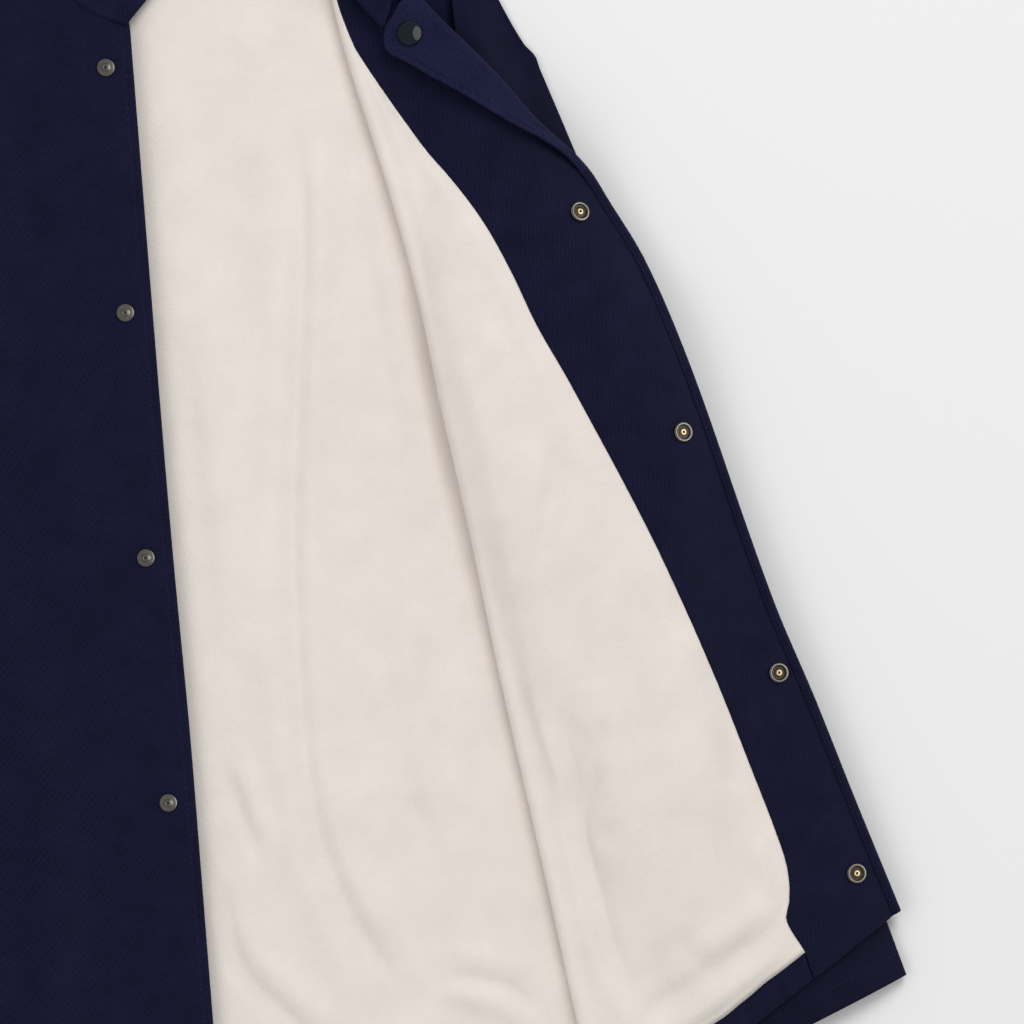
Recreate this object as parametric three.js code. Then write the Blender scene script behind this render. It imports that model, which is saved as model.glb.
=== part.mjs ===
// A snap-front coach jacket with a fleece lining, laid open on its back.
// The left front is folded open over its sleeve, and its top corner is folded back again.
// Millimetres. X runs to the wearer's left, Y from the hem to the neck, Z up from the surface.
import * as THREE from "three";

// Cloth thicknesses and the clearance between pieces
const SHELL = 1.6;
const LINING = 2.2;
const FACING = 1.4;
const COLLAR = 2.4;
const GAP = 0.3;
const LAYER_GAP = 0.4;

// Cut of the body
const ORIGIN_Y = 380;
const ARMPIT_Y = 478;
const HEM_TURN_UP = 20;
const HEM_STEP = 0.0006;
const FRONT_LENGTH = 770;
const LINING_INSET = 23;
const SIDE_ROLL = 14;

// Levels of the layers, from the surface up
const LINING_BOTTOM = SHELL + GAP;
const LINING_TOP = LINING_BOTTOM + LINING;
const FRONT_BOTTOM = LINING_TOP + GAP;
const LOWER_FRONT_MIDDLE = FRONT_BOTTOM + LINING + GAP + SHELL / 2;
const LOWER_FRONT_TOP = LOWER_FRONT_MIDDLE + SHELL / 2;
const FOLD_ROOM = 1.8;
const DRAPE_CLEARANCE = 1.5;
const DRAPE_REACH = 7;
const SLEEVE_STEP_DOWN = 24;

// Turned edges of the left front
const LIP_RADIUS = 2.3;
const LIP_WIDTH = 2.6;
const FLAP_RADIUS = 3.4;
const FLAP_LIFT = 4.5;

// Right front
const RIGHT_EDGE_LIFT = 7;
const RIGHT_LIFT_REACH = 95;

// Snaps
const SNAP_INSET = 16;
const STUD_PITCH = 148;
const LOWEST_STUD_Y = 63;
const SNAP_SIDES = 14;
const SNAP_SEAT = 0.9;
const CORNER_SEAT = 0.5;

// Sleeves
const SLEEVE_SEAM = 4;
const SIDE_SHARE = 0.34;
const SEAM_REACH = 0.14;

// Rows of a table become objects with named columns
function table(names, rows) {
  const keys = names.split(" ");
  return rows.map((row) => Object.fromEntries(keys.map((key, i) => [key, row[i]])));
}

// Edge of the body on the wearer's left: the armhole, then the side seam
const ARMHOLE = table("y x", [
  [478, 273],
  [505, 249],
  [550, 222],
  [600, 200],
  [647, 187],
  [675, 178],
  [690, 179],
  [716, 191],
]);
const SIDE_SEAM = table("y x", [
  [0, 280],
  [150, 278],
  [300, 276],
  [430, 277],
  [478, 273],
]);

// Line along which the left front is folded open, from the neck to the hem
const FOLD_LINE = table("x y", [
  [90, 760],
  [105, 662],
  [125, 578],
  [140, 505],
  [149, 441],
  [160, 371],
  [174, 271],
  [192, 156],
  [206, 62],
  [217, -8],
]);

// Outer edge of the folded front: the second fold, then the front edge to the hem corner
const FRONT_EDGE = table("x y", [
  [104, 752],
  [124, 719],
  [157, 681],
  [197, 634],
  [218, 605],
  [245, 576],
  [258, 553],
  [277, 516],
  [300, 449],
  [340, 308],
  [361, 247],
  [381, 185],
  [404, 116],
]);

// Free edge of the corner that is folded back, against the place along the front edge
const FLAP_EDGE = table("t x y", [
  [0.053, 121, 718],
  [0.087, 137, 701],
  [0.11, 142, 685],
  [0.122, 139, 677],
  [0.145, 132, 666],
  [0.164, 132, 653],
  [0.184, 147, 643],
  [0.209, 164, 632],
  [0.233, 182, 618],
  [0.259, 200, 605],
  [0.282, 215, 594],
  [0.302, 228, 584],
  [0.32, 241, 574],
  [0.351, 255, 553],
]);

// Seam between the facing and the lining of the left front
const FACING_SEAM = table("x y", [
  [97, 735],
  [103, 685],
  [125, 636],
  [165, 572],
  [197, 510],
  [228, 445],
  [272, 346],
  [302, 263],
  [322, 203],
  [337, 155],
  [339, 140],
  [338, 112],
  [344, 100],
  [352, 86],
]);

// Left sleeve, which lies over the side of the body: its two edges and the height of its crown
const LEFT_SLEEVE = table("y inner outer crown", [
  [20, 305, 424, 13],
  [77, 279, 404, 15],
  [195, 229, 371, 18],
  [318, 189, 333, 20],
  [410, 165, 304, 21],
  [489, 157, 277, 20],
  [549, 163, 250, 17],
  [608, 166, 233, 12],
  [647, 172, 217, 6.5],
  [680, 177, 204, 6],
  [716, 191, 193, 5],
]);
const LEFT_SLEEVE_INNER = table("x y", [
  [188, 646],
  [174, 608],
  [163, 549],
  [157, 489],
  [165, 410],
  [189, 318],
  [229, 195],
  [279, 77],
  [301, 32],
]);
const LEFT_SLEEVE_OUTER = table("x y", [
  [192, 716],
  [204, 680],
  [217, 647],
  [234, 604],
  [243, 579],
  [277, 489],
  [304, 410],
  [335, 310],
  [371, 195],
  [406, 77],
]);

// Right sleeve, which lies beside the body
const RIGHT_SLEEVE_INNER = table("x y", [
  [-280, 475],
  [-330, 400],
  [-400, 300],
  [-450, 228],
  [-505, 147],
]);
const RIGHT_SLEEVE_OUTER = table("x y", [
  [-191, 716],
  [-240, 668],
  [-330, 560],
  [-460, 395],
  [-594, 219],
]);
const RIGHT_CROWN = table("t crown", [
  [0, 8],
  [0.2, 15],
  [0.6, 14],
  [1, 12],
]);

// Soft folds of the back lining: ridges between two points
const LINING_FOLDS = table("x1 y1 x2 y2 height width", [
  [96, 560, 92, 300, 2.2, 24],
  [92, 330, 104, 170, 2.0, 24],
  [22, 520, 26, 250, 2.2, 22],
  [30, 250, 62, 110, 1.9, 20],
  [132, 250, 150, 130, 1.8, 22],
  [118, 80, 165, 92, 1.6, 14],
  [2, 150, 40, 60, 1.8, 16],
]);

const TAU = Math.PI * 2;

// Smooth value of a column at a place along the key column
function columnAt(rows, key, name, at) {
  const last = rows.length - 1;
  const place = THREE.MathUtils.clamp(at, rows[0][key], rows[last][key]);
  let i = 0;
  while (i < last - 1 && place > rows[i + 1][key]) i += 1;
  const slope = (a, b) => (rows[b][name] - rows[a][name]) / (rows[b][key] - rows[a][key]);
  const span = rows[i + 1][key] - rows[i][key];
  const startSlope = slope(Math.max(i - 1, 0), i + 1);
  const endSlope = slope(i, Math.min(i + 2, last));
  const u = (place - rows[i][key]) / span;
  const u2 = u * u;
  const u3 = u2 * u;
  return (2 * u3 - 3 * u2 + 1) * rows[i][name]
    + (u3 - 2 * u2 + u) * span * startSlope
    + (3 * u2 - 2 * u3) * rows[i + 1][name]
    + (u3 - u2) * span * endSlope;
}

// Line in plan through points, with a place from 0 to 1 along it
function path(points) {
  let length = 0;
  const rows = points.map((point, i) => {
    if (i > 0) length += Math.hypot(point.x - points[i - 1].x, point.y - points[i - 1].y);
    return { ...point, s: length };
  });
  return (t) => new THREE.Vector2(
    columnAt(rows, "s", "x", t * length),
    columnAt(rows, "s", "y", t * length),
  );
}

// Unit vector in plan, square to a path and pointing to the wearer's left
function leftOf(line, t) {
  const step = 0.01;
  const ahead = line(Math.min(t + step, 1));
  const along = ahead.sub(line(Math.max(t - step, 0))).normalize();
  return new THREE.Vector2(-along.y, along.x);
}

const mirrored = (rows) => rows.map((row) => ({ ...row, x: -row.x }));
const smooth = (value, from, to) => THREE.MathUtils.smoothstep(value, from, to);
const sideAt = (y) => columnAt(y > ARMPIT_Y ? ARMHOLE : SIDE_SEAM, "y", "x", y);

// Closed wall between a lower and an upper grid of points
function wall(rowCount, columnCount, lower, upper) {
  const positions = [];
  const faces = [];
  const size = rowCount * columnCount;
  for (const sheet of [lower, upper]) {
    for (let i = 0; i < rowCount; i += 1) {
      for (let j = 0; j < columnCount; j += 1) {
        positions.push(...sheet(i / (rowCount - 1), j / (columnCount - 1)).toArray());
      }
    }
  }
  const quad = (a, b, c, d) => faces.push(a, b, c, a, c, d);
  const at = (i, j) => i * columnCount + j;
  for (let i = 0; i < rowCount - 1; i += 1) {
    for (let j = 0; j < columnCount - 1; j += 1) {
      quad(at(i, j), at(i, j + 1), at(i + 1, j + 1), at(i + 1, j));
      quad(size + at(i, j), size + at(i + 1, j), size + at(i + 1, j + 1), size + at(i, j + 1));
    }
  }
  const rim = [];
  for (let j = 0; j < columnCount - 1; j += 1) rim.push(at(0, j));
  for (let i = 0; i < rowCount - 1; i += 1) rim.push(at(i, columnCount - 1));
  for (let j = columnCount - 1; j > 0; j -= 1) rim.push(at(rowCount - 1, j));
  for (let i = rowCount - 1; i > 0; i -= 1) rim.push(at(i, 0));
  rim.forEach((from, k) => {
    const to = rim[(k + 1) % rim.length];
    quad(from, size + from, size + to, to);
  });
  return closedGeometry(positions, faces);
}

// Closed tube wall between an outer and an inner set of rings
function tube(rowCount, aroundCount, outer, inner) {
  const positions = [];
  const faces = [];
  const size = rowCount * aroundCount;
  for (const skin of [outer, inner]) {
    for (let i = 0; i < rowCount; i += 1) {
      for (let k = 0; k < aroundCount; k += 1) {
        positions.push(...skin(i / (rowCount - 1), k / aroundCount).toArray());
      }
    }
  }
  const quad = (a, b, c, d) => faces.push(a, b, c, a, c, d);
  const at = (i, k) => i * aroundCount + (k % aroundCount);
  for (let k = 0; k < aroundCount; k += 1) {
    for (let i = 0; i < rowCount - 1; i += 1) {
      quad(at(i, k), at(i, k + 1), at(i + 1, k + 1), at(i + 1, k));
      quad(size + at(i, k), size + at(i + 1, k), size + at(i + 1, k + 1), size + at(i, k + 1));
    }
    quad(at(0, k), size + at(0, k), size + at(0, k + 1), at(0, k + 1));
    const end = rowCount - 1;
    quad(at(end, k), at(end, k + 1), size + at(end, k + 1), size + at(end, k));
  }
  return closedGeometry(positions, faces);
}

// Geometry with its faces turned outwards
function closedGeometry(positions, faces) {
  const geometry = new THREE.BufferGeometry();
  geometry.setAttribute("position", new THREE.Float32BufferAttribute(positions, 3));
  const corner = (index) => new THREE.Vector3().fromArray(positions, index * 3);
  let volume = 0;
  for (let f = 0; f < faces.length; f += 3) {
    volume += corner(faces[f]).dot(corner(faces[f + 1]).cross(corner(faces[f + 2])));
  }
  geometry.setIndex(volume > 0 ? faces : faces.reverse());
  geometry.computeVertexNormals();
  return geometry;
}

// Patch in plan between four boundary paths
function patch(top, bottom, near, far) {
  return (across, down) => {
    const point = top(across).multiplyScalar(1 - down);
    point.addScaledVector(bottom(across), down);
    point.addScaledVector(near(down), 1 - across);
    point.addScaledVector(far(down), across);
    point.addScaledVector(top(0), -(1 - across) * (1 - down));
    point.addScaledVector(top(1), -across * (1 - down));
    point.addScaledVector(bottom(0), -(1 - across) * down);
    point.addScaledVector(bottom(1), -across * down);
    return point;
  };
}

const raised = (plan, z) => new THREE.Vector3(plan.x, plan.y, z);

// Sleeve section: a level underside with a rounded crown over it
const crownProfile = (u) => (1 - Math.abs(2 * THREE.MathUtils.clamp(u, 0, 1) - 1) ** 2.3) ** 0.7;

// Underside of the left sleeve, which comes down to the surface beyond the body
function leftSleeveBottom(x, y) {
  const side = sideAt(y);
  return (LOWER_FRONT_TOP + GAP) * (1 - smooth(x, side, side + SLEEVE_STEP_DOWN));
}

function leftSleeveTop(x, y) {
  const inner = columnAt(LEFT_SLEEVE, "y", "inner", y);
  const outer = columnAt(LEFT_SLEEVE, "y", "outer", y);
  const crown = columnAt(LEFT_SLEEVE, "y", "crown", y);
  const across = (x - inner) / (outer - inner);
  const inside = across > 0 && across < 1 ? 1 : 0;
  const rise = SIDE_SHARE + (1 - SIDE_SHARE) * crownProfile(across);
  return leftSleeveBottom(x, y) + crown * rise * inside;
}

// Height of whatever the folded front lies on
function support(x, y) {
  const side = sideAt(y);
  const body = (LOWER_FRONT_TOP + FOLD_ROOM) * (1 - smooth(x, side, side + SLEEVE_STEP_DOWN));
  return Math.max(body, leftSleeveTop(x, y));
}

// Underside of the folded front: the highest support nearby, evened out across it
function drape(x, y) {
  const steps = [-1, -0.75, -0.5, -0.25, 0, 0.25, 0.5, 0.75, 1];
  let sum = 0;
  for (const even of steps) {
    let highest = 0;
    for (const look of steps) {
      highest = Math.max(highest, support(x + (even + look) * DRAPE_REACH, y));
    }
    sum += highest;
  }
  return sum / steps.length + DRAPE_CLEARANCE;
}

// Unit normal of the draped surface, pointing up
function drapeNormal(x, y) {
  const step = 2;
  const acrossSlope = (drape(x + step, y) - drape(x - step, y)) / (2 * step);
  const alongSlope = (drape(x, y + step) - drape(x, y - step)) / (2 * step);
  return new THREE.Vector3(-acrossSlope, -alongSlope, 1).normalize();
}

// Left front: one wall that runs from the side seam, round the fold, to the turned front edge.
// Its place across is 0 to 1 on the lower layer, 1 to 2 round the fold, 2 to 3 on the upper layer,
// 3 to 4 round the front edge, and 4 to 5 on the lip or the corner that is folded back.
const foldLine = path(FOLD_LINE);
const frontEdge = path(FRONT_EDGE);
const leftSide = path([...ARMHOLE.slice().reverse(), ...SIDE_SEAM.slice(0, -1).reverse()]);
const FOLD_SETBACK = LINING + GAP + SHELL / 2;

// Height of the lower layer, which rolls down to the back at the side seam
function lowerFrontMiddle(plan) {
  const roll = smooth(sideAt(plan.y) - plan.x, 0, SIDE_ROLL);
  return THREE.MathUtils.lerp(LINING_BOTTOM + SHELL / 2, LOWER_FRONT_MIDDLE, roll);
}

// How far the top corner is folded back at a row: 0 is only the lip of the front edge
function flapShare(t) {
  const first = FLAP_EDGE[0].t;
  const last = FLAP_EDGE[FLAP_EDGE.length - 1].t;
  return smooth(t, first, first + 0.05) * (1 - smooth(t, last - 0.09, last));
}

function foldTurn(t) {
  const outward = leftOf(foldLine, t);
  const start = foldLine(t);
  const guess = start.clone().addScaledVector(outward, FOLD_SETBACK + FOLD_ROOM);
  const radius = (drape(guess.x, guess.y) + SHELL / 2 - LOWER_FRONT_MIDDLE) / 2;
  const centre = start.addScaledVector(outward, FOLD_SETBACK + radius);
  return { centre, outward, radius };
}

function edgeTurn(t) {
  const radius = THREE.MathUtils.lerp(LIP_RADIUS, FLAP_RADIUS, flapShare(t));
  const outward = leftOf(frontEdge, t);
  const start = frontEdge(t).addScaledVector(outward, -(SHELL / 2 + radius));
  const normal = drapeNormal(start.x, start.y);
  const out = raised(outward, 0);
  out.addScaledVector(normal, -out.dot(normal)).normalize();
  return { start, out, normal, radius };
}

function leftFront(t, across) {
  const fold = foldTurn(t);
  if (across <= 1) {
    const plan = leftSide(t).lerp(fold.centre, across);
    return raised(plan, lowerFrontMiddle(plan));
  }
  if (across <= 2) {
    const angle = (across - 1) * Math.PI;
    const plan = fold.centre.clone().addScaledVector(fold.outward, -fold.radius * Math.sin(angle));
    return raised(plan, LOWER_FRONT_MIDDLE + fold.radius * (1 - Math.cos(angle)));
  }
  const edge = edgeTurn(t);
  if (across <= 3) {
    const plan = fold.centre.clone().lerp(edge.start, across - 2);
    return raised(plan, drape(plan.x, plan.y) + SHELL / 2);
  }
  const base = raised(edge.start, drape(edge.start.x, edge.start.y) + SHELL / 2);
  if (across <= 4) {
    const angle = (across - 3) * Math.PI;
    base.addScaledVector(edge.out, edge.radius * Math.sin(angle));
    return base.addScaledVector(edge.normal, edge.radius * (1 - Math.cos(angle)));
  }
  const lip = edge.start.clone();
  lip.addScaledVector(fold.centre.clone().sub(edge.start).normalize(), LIP_WIDTH);
  const corner = new THREE.Vector2(
    columnAt(FLAP_EDGE, "t", "x", t),
    columnAt(FLAP_EDGE, "t", "y", t),
  );
  const share = flapShare(t) > 0 ? 1 : 0;
  const plan = edge.start.clone().lerp(lip.lerp(corner, share), across - 4);
  const top = raised(plan, drape(plan.x, plan.y) + SHELL / 2);
  const lift = 2 * edge.radius + FLAP_LIFT * flapShare(t) * (across - 4);
  return top.addScaledVector(drapeNormal(plan.x, plan.y), lift);
}

// Point beside the left front, on its lining side at a given distance
function besideFront(t, across, distance) {
  const step = 0.01;
  const ahead = leftFront(t, Math.min(across + step, 5));
  const acrossVector = ahead.sub(leftFront(t, Math.max(across - step, 0)));
  const down = leftFront(Math.min(t + step, 1), across);
  const downVector = down.sub(leftFront(Math.max(t - step, 0), across));
  const normal = downVector.cross(acrossVector).normalize();
  return leftFront(t, across).addScaledVector(normal, distance);
}

// Place across the upper layer where a row meets the facing seam
const facingSeam = path(FACING_SEAM);
function seamPlace(t) {
  const start = leftFront(t, 2);
  const end = leftFront(t, 3);
  let best = 2;
  let nearest = Infinity;
  for (let k = 0; k <= 200; k += 1) {
    const seam = facingSeam(k / 200);
    const along = ((seam.x - start.x) * (end.x - start.x) + (seam.y - start.y) * (end.y - start.y))
      / ((end.x - start.x) ** 2 + (end.y - start.y) ** 2);
    const u = THREE.MathUtils.clamp(along, 0, 1);
    const away = Math.hypot(
      start.x + u * (end.x - start.x) - seam.x,
      start.y + u * (end.y - start.y) - seam.y,
    );
    if (away < nearest) {
      nearest = away;
      best = 2 + u;
    }
  }
  return best;
}
const upperWidth = (t) => leftFront(t, 2).distanceTo(leftFront(t, 3));

// Rows of the left front, with one at the top of the hem turn-up
const FRONT_ROWS = 34;
const HEM_ROW = 1 - HEM_TURN_UP / FRONT_LENGTH;
const frontRow = (i) => (i < FRONT_ROWS - 1 ? (i * HEM_ROW) / (FRONT_ROWS - 2) : 1);

// Columns of the left front, with one along the facing seam
const LOWER_PLACES = [0, 0.07, 0.14, 0.4, 0.75, 1, 1.2, 1.4, 1.6, 1.8, 2];
const LINING_SHARES = [0.12, 0.24, 0.38, 0.52, 0.68, 0.84, 1];
const FACING_SHARES = [0.2, 0.4, 0.6, 0.8, 1];
const EDGE_PLACES = [3.25, 3.5, 3.75, 4, 4.35, 4.7, 5];
const TAIL_COLUMN = LOWER_PLACES.indexOf(0.75);
const SEAM_COLUMN = LOWER_PLACES.length + LINING_SHARES.length - 1;
const EDGE_COLUMN = SEAM_COLUMN + FACING_SHARES.length;
const FRONT_COLUMNS = EDGE_COLUMN + 1 + EDGE_PLACES.length;
function frontPlaces(t) {
  const seam = seamPlace(Math.min(t, HEM_ROW));
  return [
    ...LOWER_PLACES,
    ...LINING_SHARES.map((share) => THREE.MathUtils.lerp(2, seam, share)),
    ...FACING_SHARES.map((share) => THREE.MathUtils.lerp(seam, 3, share)),
    ...EDGE_PLACES,
  ];
}

// Layer on the left front made from the panel's own rows and columns, moved out.
// Its last or first column stands back from the facing seam.
function frontLayer(rows, columns, near, far) {
  const [firstRow, lastRow] = rows;
  const [firstColumn, lastColumn] = columns;
  const points = new Map();
  const point = (distance) => (down, across) => {
    const i = Math.round(THREE.MathUtils.lerp(firstRow, lastRow, down));
    const j = Math.round(THREE.MathUtils.lerp(firstColumn, lastColumn, across));
    const t = frontRow(i) + (i === firstRow && firstRow > 0 ? HEM_STEP : 0) - (i === lastRow ? HEM_STEP : 0);
    if (!points.has(i)) points.set(i, frontPlaces(frontRow(i)));
    const standBack = GAP / upperWidth(t);
    let place = points.get(i)[j];
    if (j === SEAM_COLUMN && lastColumn === SEAM_COLUMN) place -= standBack;
    if (j === SEAM_COLUMN && firstColumn === SEAM_COLUMN) place += standBack;
    return besideFront(t, place, distance);
  };
  return wall(lastRow - firstRow + 1, lastColumn - firstColumn + 1, point(near), point(far));
}

// Back lining and its folds
function liningFold(x, y) {
  let height = 0;
  for (const fold of LINING_FOLDS) {
    const length = Math.hypot(fold.x2 - fold.x1, fold.y2 - fold.y1);
    const alongX = (fold.x2 - fold.x1) / length;
    const alongY = (fold.y2 - fold.y1) / length;
    const along = (x - fold.x1) * alongX + (y - fold.y1) * alongY;
    const aside = (x - fold.x1) * alongY - (y - fold.y1) * alongX;
    const reach = smooth(along, -60, 40) * (1 - smooth(along, length - 40, length + 60));
    height = Math.max(height, fold.height * reach * Math.exp(-((aside / fold.width) ** 2)));
  }
  return height;
}

// Folds lie only where the fronts leave the lining free
function openLining(x, y) {
  const foldX = columnAt(FOLD_LINE.slice().reverse(), "y", "x", y);
  return smooth(x, -20, 12) * (1 - smooth(x, foldX - 22, foldX - 6)) * smooth(y, 25, 55);
}

// Right front, lifted along its free edge
const RIGHT_EDGE = table("x y", [
  [-22, 681],
  [-20, 500],
  [-18, 365],
  [-15, 250],
  [-14, 168],
  [-13, 77],
  [-12, -4],
]);
const rightEdge = path(RIGHT_EDGE);
const rightSide = path(mirrored([
  ...ARMHOLE.slice().reverse(),
  ...SIDE_SEAM.slice(0, -1).reverse(),
]));
const rightTop = path(table("x y", [
  [-22, 681],
  [-45, 691],
  [-70, 715],
  [-88, 745],
  [-93, 758],
  [-125, 745],
  [-160, 730],
  [-191, 716],
]));
const rightHem = path(table("x y", [
  [-12, -4],
  [-120, -5],
  [-210, -3],
  [-280, 0],
]));
const rightPlan = patch(rightTop, rightHem, rightEdge, rightSide);
function rightFrontBottom(plan) {
  const edgeX = columnAt(RIGHT_EDGE.slice().reverse(), "y", "x", plan.y);
  const lift = RIGHT_EDGE_LIFT * (1 - smooth(edgeX - plan.x, 0, RIGHT_LIFT_REACH));
  const side = -sideAt(plan.y);
  const roll = smooth(plan.x - side, 0, SIDE_ROLL);
  return THREE.MathUtils.lerp(LINING_BOTTOM, FRONT_BOTTOM + lift, roll);
}

// Sleeve tube between two edge paths, starting on the armhole
function sleeve(rowCount, aroundCount, inner, outer, start, bottom, crown) {
  const skin = (inset) => (down, round) => {
    const angle = round * TAU;
    const half = 0.5 - 0.5 * Math.cos(angle);
    const innerPoint = inner(down);
    const outerPoint = outer(down);
    const width = innerPoint.distanceTo(outerPoint);
    const across = THREE.MathUtils.lerp(inset / width, 1 - inset / width, half);
    const plan = innerPoint.clone().lerp(outerPoint, across);
    const straight = inner(0).lerp(outer(0), across);
    plan.addScaledVector(start(across).sub(straight), 1 - smooth(down, 0, SEAM_REACH));
    const low = bottom(plan.x, plan.y) + inset;
    const full = crown(plan, down) - 2 * inset;
    const rise = Math.sin(angle) >= 0
      ? SIDE_SHARE + (1 - SIDE_SHARE) * crownProfile(half)
      : SIDE_SHARE * (1 - sideRound(half));
    return raised(plan, low + full * rise);
  };
  return tube(rowCount, aroundCount, skin(0), skin(SHELL));
}

// Rounding of the underside towards a sleeve's two edges
const sideRound = (half) => (1 - Math.abs(2 * half - 1) ** 4) ** 0.5;

// Armhole part of a path, from its lower to its upper end
const leftArmhole = path(table("x y", [
  [188, 646],
  [182, 668],
  [179, 682],
  [182, 700],
  [192, 716],
]));
const rightArmhole = path(mirrored(ARMHOLE).map((row) => ({ x: row.x - SLEEVE_SEAM, y: row.y })));

// Collar: one band from the right front, behind the neck, to the corner that is folded back.
// Its place along is 0 to 1 on the right, 1 to 2 round a fold, 2 to 3 behind the neck,
// 3 to 4 round the other fold, and 4 to 5 on the left.
const collarSeam = {
  right: path(table("x y", [[-23, 682.5], [-44, 693.5], [-68, 717], [-86, 747], [-95, 765]])),
  back: path(table("x y", [[-95, 765], [-50, 748], [0, 742], [50, 748], [94, 767]])),
  left: path(table("x y", [[94, 767], [105, 749], [117, 729], [130, 708], [135, 692], [132, 679], [127, 669]])),
};
const collarOuter = {
  right: path(table("x y", [[24, 733], [0, 762], [-46, 800], [-98, 829]])),
  back: path(table("x y", [[-98, 829], [-50, 818], [0, 813], [50, 812]])),
  left: path(table("x y", [[50, 812], [70, 790], [84, 762], [87, 722]])),
};
const COLLAR_RIGHT_LEVEL = table("place seam outer", [
  [0, 14.2, 8],
  [0.5, 9, 6.4],
  [1, 8.2, 6.4],
]);
const COLLAR_LEFT_LEVEL = table("place seam outer", [
  [4, 25, 8],
  [4.35, 26, 10],
  [4.6, 26, 13],
  [5, 26, 18],
]);
const COLLAR_BACK_LEVEL = table("place seam outer", [
  [2, 1.2, 1.2],
  [3, 1.2, 1.2],
]);
const collarLevels = { right: COLLAR_RIGHT_LEVEL, back: COLLAR_BACK_LEVEL, left: COLLAR_LEFT_LEVEL };
function collarPoint(spot, across, place) {
  const levels = collarLevels[spot[0]];
  const seamZ = columnAt(levels, "place", "seam", place);
  const outerZ = columnAt(levels, "place", "outer", place);
  return raised(collarSeam[spot[0]](spot[1]).lerp(collarOuter[spot[0]](spot[1]), across),
    THREE.MathUtils.lerp(seamZ, outerZ, across));
}
function collarMiddle(across, along) {
  const place = along * 5;
  if (place <= 1) return collarPoint(["right", place], across, place);
  if (place >= 4) return collarPoint(["left", place - 4], across, place);
  if (place >= 2 && place <= 3) return collarPoint(["back", place - 2], across, place);
  const onRight = place < 2;
  const from = onRight ? collarPoint(["right", 1], across, 1) : collarPoint(["back", 1], across, 3);
  const to = onRight ? collarPoint(["back", 0], across, 2) : collarPoint(["left", 0], across, 4);
  const angle = (onRight ? place - 1 : place - 3) * Math.PI;
  const radius = (to.z - from.z) / 2;
  const outward = onRight ? new THREE.Vector3(-1, 0.1, 0) : new THREE.Vector3(0.76, 0.65, 0);
  const point = from.clone().setZ(from.z + radius * (1 - Math.cos(angle)));
  return point.addScaledVector(outward.normalize(), Math.abs(radius) * Math.sin(angle));
}
function collarSheet(distance) {
  return (across, along) => {
    const step = 0.004;
    const ahead = collarMiddle(across, Math.min(along + step, 1));
    const alongVector = ahead.sub(collarMiddle(across, Math.max(along - step, 0)));
    const acrossVector = collarMiddle(1, along).sub(collarMiddle(0, along));
    const normal = acrossVector.cross(alongVector).normalize();
    return collarMiddle(across, along).addScaledVector(normal, distance);
  };
}
const COLLAR_PLACES = [
  0, 0.25, 0.5, 0.75, 1, 1.2, 1.4, 1.6, 1.8, 2, 2.2, 2.4, 2.6, 2.8, 3, 3.17, 3.33, 3.5, 3.67, 3.83, 4,
  4.2, 4.4, 4.6, 4.8, 5,
];

// Snap parts, turned about their own axis
const SOCKET_PROFILE = table("radius height", [
  [0, 0],
  [6.15, 0],
  [6.15, 1.2],
  [5.2, 2.1],
  [4.2, 1.9],
  [3.7, 0.8],
  [1.9, 0.7],
  [1.5, 1.5],
  [0, 1.5],
]);
const STUD_PROFILE = table("radius height", [
  [0, 0],
  [5.4, 0],
  [5.4, 0.8],
  [2.4, 1.1],
  [2.1, 2.6],
  [2.4, 3.1],
  [1.8, 3.6],
  [0, 3.6],
]);
const CAP_PROFILE = table("radius height", [
  [0, 0],
  [7.2, 0],
  [7.5, 0.7],
  [6.6, 1.7],
  [4.6, 2.6],
  [2.4, 3.1],
  [0, 3.2],
]);
const turned = (profile) => new THREE.LatheGeometry(
  profile.map((row) => new THREE.Vector2(row.radius, row.height)),
  SNAP_SIDES,
);

// Places of the snaps on the left front, as seen from above
const SOCKETS = table("name x y", [
  ["snap_socket_2", 241, 549],
  ["snap_socket_3", 294, 413],
  ["snap_socket_4", 342, 265],
  ["snap_socket_5", 381, 141],
]);
const CAP_PLACE = { row: 0.152, across: 4.58 };

const navy = new THREE.MeshStandardMaterial({ color: 0x1b1d3a, roughness: 0.9, metalness: 0 });
const cream = new THREE.MeshStandardMaterial({ color: 0xe2dad2, roughness: 1, metalness: 0 });
const metal = new THREE.MeshStandardMaterial({ color: 0x8f8a80, roughness: 0.35, metalness: 1 });
const enamel = new THREE.MeshStandardMaterial({ color: 0x12303f, roughness: 0.15, metalness: 0.2 });

const jacket = new THREE.Group();
jacket.position.y = -ORIGIN_Y;

function piece(name, geometry, material) {
  const mesh = new THREE.Mesh(geometry, material);
  mesh.name = name;
  jacket.add(mesh);
  return mesh;
}

// Snap part standing on a surface point along its normal
function snap(name, profile, material, point, normal, seat = SNAP_SEAT) {
  const mesh = piece(name, turned(profile), material);
  mesh.position.copy(point).addScaledVector(normal, seat);
  mesh.quaternion.setFromUnitVectors(new THREE.Vector3(0, 1, 0), normal);
  return mesh;
}

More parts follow.
